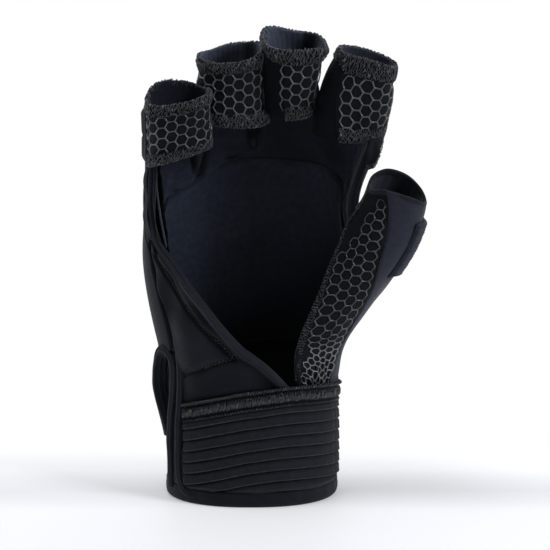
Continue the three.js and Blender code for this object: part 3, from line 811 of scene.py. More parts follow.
rise = 1.5 * ease(edge / 2.6) + 0.25 * ridge(edge, 2.4, 1.0)
flat[:, 2] = -SHELL_WALL - 0.75 - rise - 0.3 * slack(flat, 30, 31)
flat[:, 2] += 2.4 * np.clip(1 - flat[:, 1] / 7, 0, 1)
lay(panel, flat, arch_even, arch_width, ARCH_HEIGHT, wall=0.5, side=1)
sew_on(panel, [panel_jersey], ["lining_pad"])

# Foam of the back: one raised pad of foam under stretch cloth, outside the shell, with
# four channels pressed into it.
PAD_SIZE = (112.0, 98.0)
PAD_TURNS, PAD_HEIGHTS, PAD_ROUNDING = (36, 154), (62, 160), 0.7
CHANNELS = (26, 46, 66, 86)


def back_pad_form(u, v):
    """A patch of the hand with a rounded outline."""
    s, t = 2 * u - 1, 2 * v - 1
    across = s * np.sqrt(np.clip(1 - PAD_ROUNDING * t * t / 2, 0, 1))
    rise = t * np.sqrt(np.clip(1 - PAD_ROUNDING * s * s / 2, 0, 1))
    turn = PAD_TURNS[0] + (PAD_TURNS[1] - PAD_TURNS[0]) * (0.5 + 0.5 * across)
    return hand(turn, PAD_HEIGHTS[0] + (PAD_HEIGHTS[1] - PAD_HEIGHTS[0]) * (0.5 + 0.5 * rise))


def from_edge(flat, width, height):
    """How far in from a flat panel's edge its vertices lie."""
    return np.minimum.reduce([flat[:, 0], width - flat[:, 0], flat[:, 1], height - flat[:, 1]])


foam_cover = cloth(
    "foam_cover", (0.0075, 0.008, 0.011), (0.018, 0.0192, 0.0245),
    pitch=(1.25, 1.1), depth=1.0, rough=0.72, sheen=0.12
)
back_pad = cut("back_foam_pad", *PAD_SIZE, 0.9)
flat = corners(back_pad)
edge = from_edge(flat, *PAD_SIZE)
channel = sum(ridge(flat[:, 0] + 0.12 * (flat[:, 1] - PAD_SIZE[1] / 2), place, 1.3) for place in CHANNELS)
channel = np.clip(channel, 0, 1) * ease((edge - 6) / 5) * ease((flat[:, 1] - 22) / 8)
flat[:, 2] = 0.7 + 5.2 * ease(edge / 9) ** 0.7 - 2.6 * channel
flat[:, 2] += 0.25 * slack(flat, 30, 41) * ease(edge / 5)
lay(back_pad, flat, back_pad_form, *PAD_SIZE, wall=0.6)
sew_on(back_pad, [foam_cover], ["back_pad"])

# Heel panel: neoprene from the little finger's side across the heel of the hand. Its
# free edge is rolled over and caught down by a zigzag, with a pillow of foam behind.
HEEL_EDGES = [  # share of its length; side edge, its height; free edge, its height
    (0, 221, 46.6, 296, 55.9),
    (0.1, 221.5, 56, 288, 61),
    (0.2, 222, 66, 279, 66.5),
    (0.27, 220.5, 72.5, 272, 71),
    (0.34, 217.8, 79, 265.5, 77),
    (0.42, 216, 87, 258, 84.5),
    (0.52, 213, 96, 249, 94),
    (0.62, 210.5, 106, 238, 104.5),
    (0.7, 207.5, 115, 227, 113.5),
    (0.77, 196.5, 122, 214, 121.5),
    (0.84, 192, 130, 206.5, 130),
    (1, 191, 153, 204, 153),
]
HEEL_SIZE = (45.0, 118.0)
HEEL_LAP = 1.2  # how far its end goes down behind the tape
HEEL_RADIUS = 38  # of the hand there
HEEL_ARC = np.array([0.62, 1.0])  # a degree of turn and a millimetre of height, in mm
ZIGZAG = [(213.5, 113), (227.7, 101.5), (236.7, 91), (245, 83), (253, 77.5), (259, 73.5), (263.5, 68.8)]
LOWER_ZIGZAG = [(263.5, 68.8), (251.2, 66), (238.2, 62), (225.5, 59.5)]
SIDE_SEAM = [(206, 119), (212.2, 96.5), (216, 85.5), (218.5, 75.5), (221, 66)]
EDGE_SEAM = [(198.5, 151), (199, 144), (200, 137.5), (204, 128), (208.7, 121), (216, 113)]


def heel_place(u, v):
    """The turn and height of places on the heel panel, and its width there."""
    side, side_z, free, free_z = follow(HEEL_EDGES, v)
    turn = side + (free - side) * u
    straight = side_z + (free_z - side_z) * u
    z = straight + (follow(CUFF_TOP, turn)[0] - HEEL_LAP - straight) * np.clip(1 - v, 0, 1) ** 12
    return np.stack([turn, z], 1), np.radians(free - side) * HEEL_RADIUS


def heel_form(u, v):
    return hand(*heel_place(u, v)[0].T)


def near_line(points, line):
    """Distance in mm from points of turn and height to a line of such points."""
    line = np.array(line) * HEEL_ARC
    return np.min([beside(points * HEEL_ARC, a, b)[1] for a, b in zip(line[:-1], line[1:])], axis=0)


def heel_swell(u, v):
    """How far the heel panel stands off the hand: roll, grooves and pillow; and its painted light: a painted
    highlight on the roll and the pillow, painted shade along the seams.
    """
    place, wide = heel_place(u, v)
    inward = (1 - u) * wide  # in from the free edge
    roll = 2.5 * ridge(inward, 2.4, 1.6) * ease(v * 9) * (1 - 0.7 * ease((v - 0.7) / 0.1))
    upper, lower = near_line(place, ZIGZAG), near_line(place, LOWER_ZIGZAG)
    seam, edging = near_line(place, SIDE_SEAM), near_line(place, EDGE_SEAM)
    sewn = np.minimum(upper, lower)
    grooves = -1.7 * ridge(upper, 0, 1.1) - 1.2 * ridge(lower, 0, 1.1)
    grooves -= 1.4 * ridge(seam, 0, 0.8) + 1.7 * ridge(edging, 0, 0.65)
    pillow = 3.4 * ridge(place[:, 0], 238, 15) * ridge(place[:, 1], 73.5, 9) * ease(sewn / 3.5)
    folds = 0.9 * ripple(*(place * HEEL_ARC).T, 17, 51) * ease(inward / 6) * ease(v * 8)
    tucked = -1.2 * ease(1 - v * 14)
    # Painted light: a painted highlight on the roll's crest and the pillow, painted shade along the zigzags,
    # the seams and inside the roll.
    painted_light = 1 + 0.9 * ridge(inward, 2.2, 0.9) + 0.5 * pillow / 3.4 - 0.5 * ridge(sewn, 0, 1.0)
    painted_light -= 0.7 * ridge(seam, 0, 0.7) + 0.85 * ridge(edging, 0, 0.6) + 0.5 * ridge(inward, 5, 1.2)
    return roll - 2.0 * ridge(inward, 0, 0.8) + grooves + pillow + folds + tucked, np.clip(painted_light, 0.1, 2)


# A darker copy of the neoprene for the heel panel, which lies away from the light: painted shade.
shaded_heel_cloth = cloth(
    "heel_neoprene", (0.0032, 0.0039, 0.0064), (0.0090, 0.0101, 0.0150),
    pitch=(0.42, 0.5), depth=0.6, rough=0.78, sheen=0.12
)
takes_painted_light(shaded_heel_cloth)
heel = cut("heel_panel_cloth", *HEEL_SIZE, 0.45)
flat = corners(heel)
flat[:, 2], painted_light = heel_swell(flat[:, 0] / HEEL_SIZE[0], flat[:, 1] / HEEL_SIZE[1])
set_painted_light(heel, painted_light)
lay(heel, flat, heel_form, *HEEL_SIZE, wall=2.2)
sew_on(heel, [shaded_heel_cloth], ["heel_panel"])


def on_line(at, run, points):
    """The points of a line at these distances along it."""
    return np.stack([np.interp(at, run, column) for column in points.T], 1)


def off_hand(turn, z, out, step=0.3):
    """Points that stand off the form of the hand."""
    base = hand(turn, z)
    way = np.cross(hand(turn + step, z) - base, hand(turn, z + step) - base)
    return base + unit(way) * out[:, None]


def zigzag(name, line, radius=0.17, wave=0.5, pitch=0.8, sunk=0.95):
    """A thread that zigzags along a line of turn and height, sunk in the cloth."""
    line = np.array(line, float)
    run = run_of(line * HEEL_ARC)
    rings, sides = int(run[-1] / 0.22), 5
    thread, share = grid(name, sides, rings)
    along = share[:, 1] * run[-1]
    ahead = unit((on_line(along + 1, run, line) - on_line(along - 1, run, line)) * HEEL_ARC)
    across = np.stack([-ahead[:, 1], ahead[:, 0]], 1) / HEEL_ARC
    tooth = np.abs((along / pitch) % 2 - 1) * 2 - 1
    round_it = share[:, 0] * 2 * math.pi
    place = on_line(along, run, line) + across * (wave * tooth - radius * np.cos(round_it))[:, None]
    move(thread, off_hand(*place.T, radius * np.sin(round_it) - sunk, 0.2) / 1000)
    return thread


heel_sewing = join("heel_panel_stitches", [zigzag("upper", ZIGZAG), zigzag("lower", LOWER_ZIGZAG)])
sew_on(heel_sewing, [tape_thread])

# Wrist slit: the seam at the little finger's side is left open at the wrist, and a
# knitted tape binds it, up beside the cuff and down the gaping edge. A second tape
# covers the end of the elastic.
SLIT_ROUTE = [  # turn, height, distance off the hand
    (203.8, 4.5, 0.1), (203.4, 20, 0.5), (203.4, 30, 0.5), (205.5, 40, 0.1), (208.8, 50, -0.5),
    (212.4, 59, -0.8), (213.4, 65, -0.8), (210, 69.0, -0.3), (203.5, 69.8, 0.2), (195.5, 66.8, 1.2),
    (190, 60.5, 2.8), (187.6, 52, 4.0), (189.4, 42, 2.8), (193.6, 34, 1.2), (196.8, 28, 0.4),
]
SIDE_ROUTE = [
    (236, 3.6, -0.9), (228, 3.9, -0.6), (221.5, 5.6, -0.4), (217.2, 9.5, 0.0), (215.4, 16, 0.3),
    (215.4, 25, 0.3), (216.4, 36, 0.2), (219.2, 48, -0.2), (222.0, 60, -0.6), (223.4, 70, -0.8),
]


def bound_tape(name, route, width, thickness, seed):
    """A soft tape of rounded section along a route, with the groove of its stitching."""
    points = off_hand(*np.array(route, float).T)
    run = run_of(points, 0.5)
    line = follow(np.column_stack([run, points]), np.linspace(0, run[-1], 400)).T
    length, girth = run_of(line), 2 * (width + thickness)
    made = cut(name, girth, length[-1], 0.42)
    flat = corners(made)
    along = flat[:, 1]
    centre = on_line(along, length, line)
    ahead = unit(on_line(along + 0.6, length, line) - on_line(along - 0.6, length, line))
    x, little, _, depth = follow(HAND, centre[:, 2])
    away = np.stack([(centre[:, 0] + CENTRE[0] - x) / little**2, centre[:, 1] / depth**2, along * 0], 1)
    aside = unit(np.cross(ahead, away))
    proud = np.cross(aside, ahead)
    round_it = -flat[:, 0] / girth * 2 * math.pi
    c, s = np.cos(round_it), np.sin(round_it)
    taper = np.sqrt(np.clip(np.minimum(along, length[-1] - along) / 0.9, 0.0, 1))
    swell = (1 + 0.07 * slack(flat, 9, seed)) * taper
    wide = width / 2 * np.sign(c) * np.abs(c) ** 0.75 * swell
    high = thickness / 2 * np.sign(s) * np.abs(s) ** 0.8 * swell
    high -= 0.45 * ridge(c, 0.25, 0.16) * (s > 0) * taper
    move(made, (centre + aside * wide[:, None] + proud * high[:, None]) / 1000)
    chart(made, flat[:, :2])
    merge(made, 2e-6)
    return made


slit = bound_tape("slit_binding_tape", SLIT_ROUTE, 4.0, 3.0, 111)
sew_on(slit, [binding_cloth], ["slit_binding"])
side = bound_tape("side_binding_tape", SIDE_ROUTE, 3.5, 2.8, 112)
sew_on(side, [binding_cloth], ["side_binding"])

# Side gusset: a strip of near-black mesh in the gap between the lining's edge and the
# heel panel, a dark sheet where the gap lies in shade (painted shade), with an elastic strand down its
# middle.
GUSSET = [  # share of its length; the two edges, as turn and height
    (0, 180, 156, 198, 156), (0.12, 180, 152, 199, 151.5), (0.35, 181, 141, 207, 142),
    (0.6, 190, 132, 213.5, 131), (0.8, 199, 123, 218, 122), (1, 212, 113, 220, 114),
]
GUSSET_DEPTH = 5.3
GUSSET_SIZE = (7.5, 44.0)
STRAND_ROUTE = [(191, 154, -4.4), (194, 149, -4.3), (199, 142.5, -4.3), (205.5, 136, -4.3),
                (212, 127.5, -4.3), (218.5, 116.5, -4.4)]


def gusset_form(u, v):
    left, left_z, right, right_z = follow(GUSSET, 1 - v)
    turn, z = left + (right - left) * u, left_z + (right_z - left_z) * u
    return off_hand(turn, z, np.full(len(turn), -GUSSET_DEPTH))


gap_shadow_mesh = cloth(
    "gap_shadow_mesh", (0.0003, 0.0004, 0.0007), (0.0012, 0.0014, 0.0022),
    pitch=(0.9, 0.9), depth=0.8, rough=0.85, sheen=0.0
)
gusset = cut("side_gusset", *GUSSET_SIZE, 0.6)
flat = corners(gusset)
flat[:, 2] = 0.4 * slack(flat, 8, 141)
lay(gusset, flat, gusset_form, *GUSSET_SIZE, wall=0.5)
sew_on(gusset, [gap_shadow_mesh])
strand = bound_tape("gusset_strand", STRAND_ROUTE, 0.9, 0.9, 142)
sew_on(strand, [lit_finger_lining])

# Fingers: each is a short tube. Its palm side is a panel of open mesh, the grip, and
# neoprene carries it round the back. Both ends are overlocked, and so left thick.
FINGERS = {  # height, centre x and y, half width and depth, tilts, ends of the grip
    "little": [
        (157, -42.5, -3.6, 14.3, 15.9, 0.3, 0, 188, 354),
        (163, -42.2, -9.2, 14.0, 12.6, 0.26, 0.1, 189, 353),
        (172, -42.0, -12.7, 13.8, 10.4, 0.22, 0.2, 190, 352),
        (186, -42.2, -14.6, 13.8, 10.3, 0.15, 0.42, 190, 351),
    ],
    "ring": [
        (172.6, -17.4, 7.4, 14.7, 13.2, -0.03, 0.25, 184, 352),
        (179, -19.3, 4.6, 14.5, 12.2, 0, 0.25, 183, 352),
        (190, -19.5, 1.8, 14.3, 11.0, 0.04, 0.25, 182, 352),
        (202.3, -19.4, 0, 14.5, 11.0, 0.07, 0.25, 182, 351),
    ],
    "middle": [
        (177.2, 7.2, 8.0, 9.9, 12.6, 0, 0.36, 255, 342),
        (190, 8.0, 2.8, 11.2, 11.0, -0.03, 0.42, 254, 338),
        (201, 8.6, -0.6, 12.2, 11.0, -0.08, 0.43, 254, 338),
        (207.4, 8.6, -2.6, 14.6, 11.0, -0.12, 0.43, 254, 338),
    ],
    "index": [
        (166.8, 33.7, 3.4, 14.9, 13.2, 0, 0.27, 251, 350),
        (181, 35.3, -0.2, 16.0, 11.0, -0.08, 0.3, 243, 350),
        (190, 37.4, -1.2, 14.8, 11.0, -0.18, 0.3, 236, 350),
        (199.4, 41.0, -2.4, 12.7, 11.0, -0.3, 0.3, 231, 350),
    ],
}
WALLS = [  # finger; place round its back cloth, width; from and to on its height; swell
    ("middle", 0.77, 0.11, -0.3, 0.95, 2.4),
    ("middle", 0.07, 0.10, -0.3, 0.45, 1.6),
    ("index", 0.80, 0.11, -0.3, 0.42, 2.3),
    ("ring", 0.05, 0.10, -0.3, 0.5, 1.4),
]
GRIP_FOLDS = [  # finger; place from the left edge (below 0: the right) and up; size; height; lean
    ("ring", 4, 17, 5, 3.2, 1.5, 0),
    ("ring", 9, 12.5, 6, 1.5, -1.0, 0.2),
    ("little", -5, 6, 5, 4, 0.9, 0),
    ("little", -6, 12, 4, 1.6, -1.0, 0),
    ("middle", 9, 6, 6, 5, 0.5, 0),
    ("index", 30, 9, 6, 6, 0.6, 0),
]
FINGER_PADS = {  # the share of the finger below the pad, and the turns of its sides
    "little": (0.02, 84, 187), "ring": (0.12, 48, 132), "middle": (0.12, 48, 132),
    "index": (0.14, 48, 132),
}
PAD_TOP = 0.86
FINGER_BOXINESS = 2.5
HEXAGON_PITCH = 5.1
PRINT_WIDTH = 0.74
PRINT_LIFT = 0.42
PRINTS = {  # where a cell's middle lies; bare edge and slack beside it; bare edge below
    "little": (1.5, 0.6, 0.0, 3.5), "ring": (2.0, 0.6, 7.0, 3.5),
    "middle": (0.8, 0.2, 0.0, 6.5), "index": (4.4, 3.6, 0.0, 3.5),
}
OVERLOCK = [  # share of the way over the edge, length, lean and radius of each row's threads
    (0.02, 0.26, 1.2, 0.20), (0.10, 0.30, -1.3, 0.20), (0.28, 0.32, 1.5, 0.24),
    (0.38, 0.30, -1.4, 0.20), (0.52, 0.36, 1.3, 0.24), (0.66, 0.28, -1.0, 0.22),
    (0.78, 0.20, 1.1, 0.24),
]
HEM_PROFILE = [  # share of the way over the edge; along the panel, and off it
    (0, -5.8, -0.1), (0.08, -5.4, 0.3), (0.35, -3.4, 0.5), (0.6, -1.3, 0.5), (0.74, -0.25, 0.25),
    (0.82, 0.1, -0.25), (0.9, -0.7, -0.95), (1, -2.8, -1.2),
]
LIPS = {  # how far each opening's edge rises or dips round it: turn, mm
    "little": [(0, -1.5), (45, -3.4), (80, -1.2), (110, 1.0), (150, 0.5), (180, -1.0), (225, -0.5),
               (270, 0), (315, 0), (360, -1.5)],
    "ring": [(0, 1.5), (60, 0.6), (90, 0), (130, -1.6), (180, -0.5), (230, -0.8), (275, -1.4),
             (320, 0), (345, 2.0), (360, 1.5)],
    "middle": [(0, -2.2), (45, -0.6), (90, -1.0), (135, 0.6), (180, 0.5), (225, 0), (270, 1.0),
               (300, 2.0), (335, 0), (360, -2.2)],
    "index": [(0, 0.8), (45, 0), (90, 0), (135, -0.3), (180, 0.8), (225, 2.0), (270, 3.4),
              (315, 2.2), (345, 1.2), (360, 0.8)],
    "thumb": [(0, -3.0), (40, 0.0), (70, 1.6), (105, 1.2), (140, -1.8), (180, -5.0), (215, -3.0),
              (240, -0.2), (270, 1.0), (310, 0), (340, -2.2), (360, -3.0)],
}


def tube_form(rows, boxiness, lip=None, ends=lambda columns: columns[:2]):
    """A tube of that table, between two turns that are worked out of its last columns."""
    low, high = rows[0][0], rows[-1][0]

    def form(u, v):
        z = low + (high - low) * v
        x, y, a, b, slope, rake, *columns = follow(rows, z)
        first, last = ends(columns)
        turn = first + (last - first) * u
        px, py = oval(x, y, lambda c: a, b, turn, boxiness)
        rise = slope * (px + CENTRE[0] - x) + rake * (py + CENTRE[1] - y)
        if lip:
            rise += follow(LIPS[lip], turn % 360)[0] * np.clip(v, 0, 1.1) ** 5
        return np.stack([px, py, z + rise], 1)

    return form


def bind(piece, form, width, height, side, profile=HEM_PROFILE, thin=1.0):
    """Folds a flat strip over an edge of a panel. In the flat, x runs along the edge,
    y is the share of the way over it, and z stands off the strip."""
    along, share, high = corners(piece).T
    thin = thin(along) if callable(thin) else thin
    reach, off = follow(profile, share) * thin
    ahead, lift = (follow(profile, share + 0.01) - follow(profile, share - 0.01)) * thin
    length = np.hypot(ahead, lift) + 1e-9
    reach, off = reach - lift / length * high, off + ahead / length * high
    laid = {
        "top": (along, height + reach),
        "bottom": (width - along, -reach),
        "left": (-reach, along),
        "right": (width + reach, height - along),
    }[side]
    move(piece, np.stack([*laid, off], 1))
    wrap(piece, form, width, height)


def strip(name, length, cell=0.8, rows=14):
    """A flat strip to bind an edge with."""
    made = cut(name, length, rows * cell, cell)
    move(made, corners(made) / [1, rows * cell, 1])
    return made


def overlock(name, form, width, height, side, seed, thin=1.0, pitch=1.2, size=None):
    """The stitching over an edge: short loops that lean across each other in rows."""
    length = width if side in ("top", "bottom") else height
    layers = []
    for k, (place, reach, lean, thick) in enumerate(OVERLOCK):
        row = stitches(f"{name}_{k}", int(length / pitch), pitch, reach, thick * thin**0.5,
                       lean * thin, 0.15, 0.55, seed + k)
        flat = corners(row)
        flat[:, 1] = np.clip(flat[:, 1] + place, 0.005, 0.995)
        flat[:, 2] += 0.12 * ripple(flat[:, 0] * 3, flat[:, 1] * 9, 4, seed + 9 + k)
        move(row, flat)
        layers.append(row)
    made = join(name, layers)
    bind(made, form, width, height, side, thin=size or thin)
    return made


# A darker copy of the neoprene for the fingers' backs, which lie in shade: painted shade.
shaded_side_cloth = cloth(
    "finger_side_cloth", (0.0008, 0.0010, 0.0017), (0.0026, 0.0030, 0.0044),
    pitch=(0.5, 0.6), depth=0.6, rough=0.8, sheen=0.02
)
mesh_cloth = cloth(
    "open_mesh", (0.0009, 0.0011, 0.0018), (0.0052, 0.0058, 0.0076),
    pitch=(0.9, 0.9), depth=1.0, rough=0.75, sheen=0.03, fuzz=0.9
)


def print_paint(name, dark, light, pale):
    """Glossy raised print. Below a height on the panel, where the cloth is gathered, it is paler: a painted
    highlight.
    """
    made, tree, shader = paint(name)
    spots = put(tree, "TexCoord")
    rub = put(tree, "TexNoise", {"Vector": spots.outputs["Object"], "Scale": 260.0, "Detail": 3.0})
    rub = rub.outputs["Fac"]
    stops = [(0.3, (dark, dark * 1.03, dark * 1.12)), (0.72, (light, light * 1.03, light * 1.1))]
    height = put(tree, "SeparateXYZ", {0: spots.outputs["UV"]}).outputs["Y"]
    lit = {"Factor": rescale(tree, height, pale + 8, pale), MIX_A: ramp(tree, rub, stops),
           MIX_B: (0.16, 0.165, 0.175, 1)}
    skin = put(tree, "Bump", {"Height": rub, "Strength": 0.35, "Distance": 0.0003})
    wire(tree, shader, {
        "Base Color": put(tree, "Mix", lit, data_type="RGBA", blend_type="ADD").outputs[MIX_RESULT],
        "Roughness": rescale(tree, rub, 0.0, 1.0, 0.2, 0.5),
        "Normal": skin.outputs[0],
        "Specular IOR Level": 0.5,
        "Coat Weight": 0.25,
        "Coat Roughness": 0.25,
    })
    return made


silicone = print_paint("silicone_print", 0.026, 0.085, -60)
# Painted highlight: the thumb's print is paler towards its base.
thumb_silicone = print_paint("thumb_silicone_print", 0.012, 0.042, 12)


def cells_near(x, y, across, up, steps=(0,)):
    """The middles of the print's cells about each point, in even and in odd columns."""
    near = []
    for odd in (0, 1):
        cx = np.round((x / across - odd) / 2) * 2 + odd
        cy = np.round(y / up - odd / 2) + odd / 2
        near += [np.stack([cx * across, (cy + step) * up], 1) for step in steps]
    return np.array(near)


def hexagons(name, width, height, start, keep):
    """A raised print of hexagon outlines on a flat panel, where keep(x, y) is true."""
    across, up = HEXAGON_PITCH * math.sqrt(3) / 2, HEXAGON_PITCH
    columns, rows = math.ceil(width / across / 2) + 2, math.ceil(height / up) + 3
    bpy.ops.object.select_all(action="DESELECT")
    bpy.ops.mesh.primitive_circle_add(vertices=6, radius=up / math.sqrt(3), fill_type="NGON")
    print_ = bpy.context.object
    print_.name = print_.data.name = name
    one = corners(print_)
    move(print_, np.stack([one[:, 1], one[:, 0], one[:, 2]], 1) * [1, -1, 1])
    steady = {"use_relative_offset": False, "use_constant_offset": True}
    carry_out(print_, "ARRAY", count=2, constant_offset_displace=(across, up / 2, 0), **steady)
    carry_out(print_, "ARRAY", count=columns, constant_offset_displace=(2 * across, 0, 0), **steady)
    carry_out(print_, "ARRAY", count=rows, constant_offset_displace=(0, up, 0), **steady)
    shift(print_, start[0] - 2 * across, start[1] - up)
    bpy.ops.object.mode_set(mode="EDIT")
    bpy.ops.mesh.select_all(action="SELECT")
    bpy.ops.mesh.remove_doubles(threshold=0.05)
    bpy.ops.mesh.normals_make_consistent(inside=False)
    for wide, deep in ((0.13, -0.03), (0.13, -0.13), (PRINT_WIDTH / 2 - 0.26, -0.40)):
        bpy.ops.mesh.inset(thickness=wide, depth=deep, use_individual=True)
    bpy.ops.mesh.delete(type="FACE")
    bpy.ops.object.mode_set(mode="OBJECT")
    middles = np.array([tuple(face.center) for face in print_.data.polygons])[:, :2] - start
    near = cells_near(*middles.T, across, up, (0, 1, -1))
    order = np.argsort(np.linalg.norm(near - middles, axis=2), axis=0)
    outside = np.ones(len(middles), bool)
    for rank in (0, 1):  # the cell that a line belongs to, and the one across it
        cell = near[order[rank], np.arange(len(middles))] + start
        outside &= ~keep(cell[:, 0], cell[:, 1])
    bpy.ops.object.mode_set(mode="EDIT")
    bpy.ops.mesh.select_all(action="DESELECT")
    bpy.ops.object.mode_set(mode="OBJECT")
    print_.data.polygons.foreach_set("select", outside)
    bpy.ops.object.mode_set(mode="EDIT")
    bpy.ops.mesh.delete(type="FACE")
    bpy.ops.mesh.select_all(action="SELECT")
    bpy.ops.mesh.subdivide(number_cuts=1)
    bpy.ops.object.mode_set(mode="OBJECT")
    flat = corners(print_)
    place = flat[:, :2] - start
    near = cells_near(*place.T, across, up)
    away = np.linalg.norm(place - near, axis=2)
    middle = near[away.argmin(axis=0), np.arange(len(flat))]
    low = np.clip(-flat[:, 2] / 0.5, 0, 1) ** 1.5
    round_to = up / 2 - PRINT_WIDTH / 2 + 0.06  # the lines' feet round the cells' corners
    pull = 1 + low * (round_to / np.maximum(away.min(axis=0), 0.1) - 1) * 0.4
    flat[:, :2] = start + middle + (place - middle) * pull[:, None]
    move(print_, flat)
    return print_


def finger_folds(name, flat, width):
    """How far a finger's grip stands off its tube: slack cloth and its own creases."""
    x, y = flat[:, 0], flat[:, 1]
    swell = 0.35 * ripple(x, y, 16, 61 + len(name))
    for finger, across, up, wide, tall, out, lean in GRIP_FOLDS:
        if finger == name:
            across += width * (across < 0)
            swell += out * ridge(x, across, wide) * ridge(y - lean * x, up, tall)
    return swell


def foam_pad(name, rows, boxiness, turns, height, below, length, cell, stand, cover):
    """A foam pad on a tube, from a height up: stand(edge, y) is how far it stands off."""
    form, width = measure(tube_form([(*row[:7], *turns) for row in rows], boxiness))
    pad = cut(f"{name}_foam_pad", width, length, cell)
    flat = corners(pad)
    flat[:, 2] = stand(from_edge(flat, width, length), flat[:, 1])
    flat[:, 1] += below
    lay(pad, flat, form, width, height, wall=0.5)
    sew_on(pad, [cover], [f"{name}_pad"])


for number, (name, rows) in enumerate(FINGERS.items()):
    height = rows[-1][0] - rows[0][0]
    grip_form, grip_width = measure(tube_form(rows, FINGER_BOXINESS, name))
    grip = cut(f"{name}_grip_mesh", grip_width, height, 0.55)
    flat = corners(grip)
    flat[:, 2] = finger_folds(name, flat, grip_width)
    lay(grip, flat, grip_form, grip_width, height, wall=0.9)
    sew_on(grip, [mesh_cloth], [f"{name}_grip"])

    middle, bare, loose, low = PRINTS[name]
    high = height - 8.3
    printed = hexagons(
        f"{name}_grip_print", grip_width, height, (middle, (height - 8.4) % HEXAGON_PITCH),
        lambda x, y: (x > bare + loose * (y < 14)) & (x < grip_width + 1) & (y > low) & (y < high),
    )
    flat = corners(printed)
    flat[:, 2] += PRINT_LIFT + finger_folds(name, flat, grip_width)
    move(printed, flat)
    wrap(printed, grip_form, grip_width, height)
    sew_on(printed, [silicone])

    back_form, back_width = measure(
        tube_form(rows, FINGER_BOXINESS, name, lambda columns: (columns[1] - 361.5, columns[0] + 1.5))
    )
    back = cut(f"{name}_back_cloth", back_width, height, 0.9)
    back.data.materials.append(shaded_side_cloth)
    back.data.materials.append(shaded_little_lining if name == "little" else lit_finger_lining)
    flat = corners(back)
    up = flat[:, 1] / height
    flat[:, 2] = -0.15 + 0.3 * slack(flat, 18, 71 + number)
    for finger, turned, wide, first, last, out in WALLS:
        if finger == name:
            swell = out * ridge(flat[:, 0] / back_width, turned, wide)
            flat[:, 2] += swell * ease((up - first) * 5) * ease((last - up) * 5)
    lay(back, flat, back_form, back_width, height, wall=1.0, material_offset=1, material_offset_rim=1)
    sew_on(back, [], [f"{name}_back"])

    whole_form, whole_width = measure(tube_form(rows, FINGER_BOXINESS, name, lambda columns: (0, 360)))
    thin_to = 236 if name == "index" else 182  # the far side, round to this turn, is thinner
    thinner = 0.25 if name == "little" else 0.45
    far_thin = lambda x: 1 - thinner * ease(12 * x / whole_width) * ease(thin_to / 30 - 12 * x / whole_width)
    hem = strip(f"{name}_hem", whole_width)
    bind(hem, whole_form, whole_width, height, "top", thin=far_thin)
    merge(hem)
    lower = strip(f"{name}_lower_hem", grip_width)
    bind(lower, grip_form, grip_width, height, "bottom")
    sew_on(join(f"{name}_grip_hems", [hem, lower]), [mesh_cloth])
    sewing = join(f"{name}_grip_overlock", [
        overlock("rim", whole_form, whole_width, height, "top", 80 + number * 4, size=far_thin),
        overlock("low", grip_form, grip_width, height, "bottom", 82 + number * 4),
    ])
    sew_on(sewing, [tape_thread])

    below, *turns = FINGER_PADS[name]
    length = height * (PAD_TOP - below)
    foam_pad(
        name, rows, FINGER_BOXINESS, turns, height, height * below, length, 0.7,
        lambda edge, y: 0.6 + 2.4 * ease(edge / 3.4) ** 0.7
        - 1.2 * ridge(y, length / 2, 0.8) * ease((edge - 2) / 2),
        foam_cover,
    )

# Index seam: the end of the index finger's side seam hangs loose below its hem, as a
# dark tab of mesh with an overlocked edge.
TAB_SIZE = (13.0, 16.0)
TAB_TURN, TAB_TURNS = -27, 28
TAB_LOW, TAB_TALL = 151, 13.5
TAB_MIDDLE = 0.42  # the share of its width that it narrows towards


def tab_form(u, v):
    narrow = 0.45 + 0.55 * ease(v / 0.7)
    turn = TAB_TURN - 9 * (1 - v) + TAB_TURNS * (TAB_MIDDLE + (u - TAB_MIDDLE) * narrow)
    return off_hand(turn, TAB_LOW + TAB_TALL * v + 1.5 * u, 0.6 + 1.4 * u)


tab = cut("index_seam_tab", *TAB_SIZE, 0.5)
flat = corners(tab)
flat[:, 2] = 0.5 * slack(flat, 7, 151)
lay(tab, flat, tab_form, *TAB_SIZE, wall=0.8)
# The tab takes the darker side cloth, whose darkness is painted shade.
sew_on(tab, [shaded_side_cloth])
tab_edges = join("index_seam_overlock", [
    overlock("tab_side", tab_form, *TAB_SIZE, "right", 150, 0.5),
    overlock("tab_end", tab_form, *TAB_SIZE, "bottom", 156, 0.5),
])
sew_on(tab_edges, [tape_thread])

# Thumb: a long grip of the same mesh runs from the cuff to the thumb's opening, and
# neoprene carries it round the back. Its opening has a thin turned edge.
THUMB = [  # the fingers' columns; then the grip's edge, the seam and the far edge
    (59.4, -11.4, 0, 40.2, 26.4, -0.12, 0, 300, 333, 383),
    (76, 8.2, -3.2, 26.0, 23.0, -0.03, 0, 274, 330, 397),
    (98, 28.4, -8.5, 21.0, 18.0, -0.05, 0, 246, 308, 428),
    (116, 42.0, -12.8, 17.8, 15.2, -0.1, 0.05, 212, 282, 459),
    (129, 48.2, -16.0, 16.2, 13.4, -0.18, 0.12, 193, 272, 496),
    (137.5, 51.8, -18.4, 14.0, 12.0, -0.26, 0.2, 186, 260, 546),
    (146, 53.6, -20.6, 12.7, 10.9, -0.34, 0.3, 184, 247, 545),
]
THUMB_LENGTH = 96.0
THUMB_BOXINESS = 2.15
THUMB_PAD_START, THUMB_PAD_LENGTH = THUMB_LENGTH * 0.54, THUMB_LENGTH * 0.32
TUCK = 8.0  # the length that goes down behind the cuff tape
GATHER_TOP = 22.0  # the cloth is gathered below this height
SEAM_LENGTH = THUMB_LENGTH * 0.86  # of the grip's overlocked edge
PRINT_LEFT = [(0, 3.0), (12, 5.2), (27, 5.0), (43, 4.6), (60, 5.0), (72, 9.5), (84, 14.5), (96, 19)]
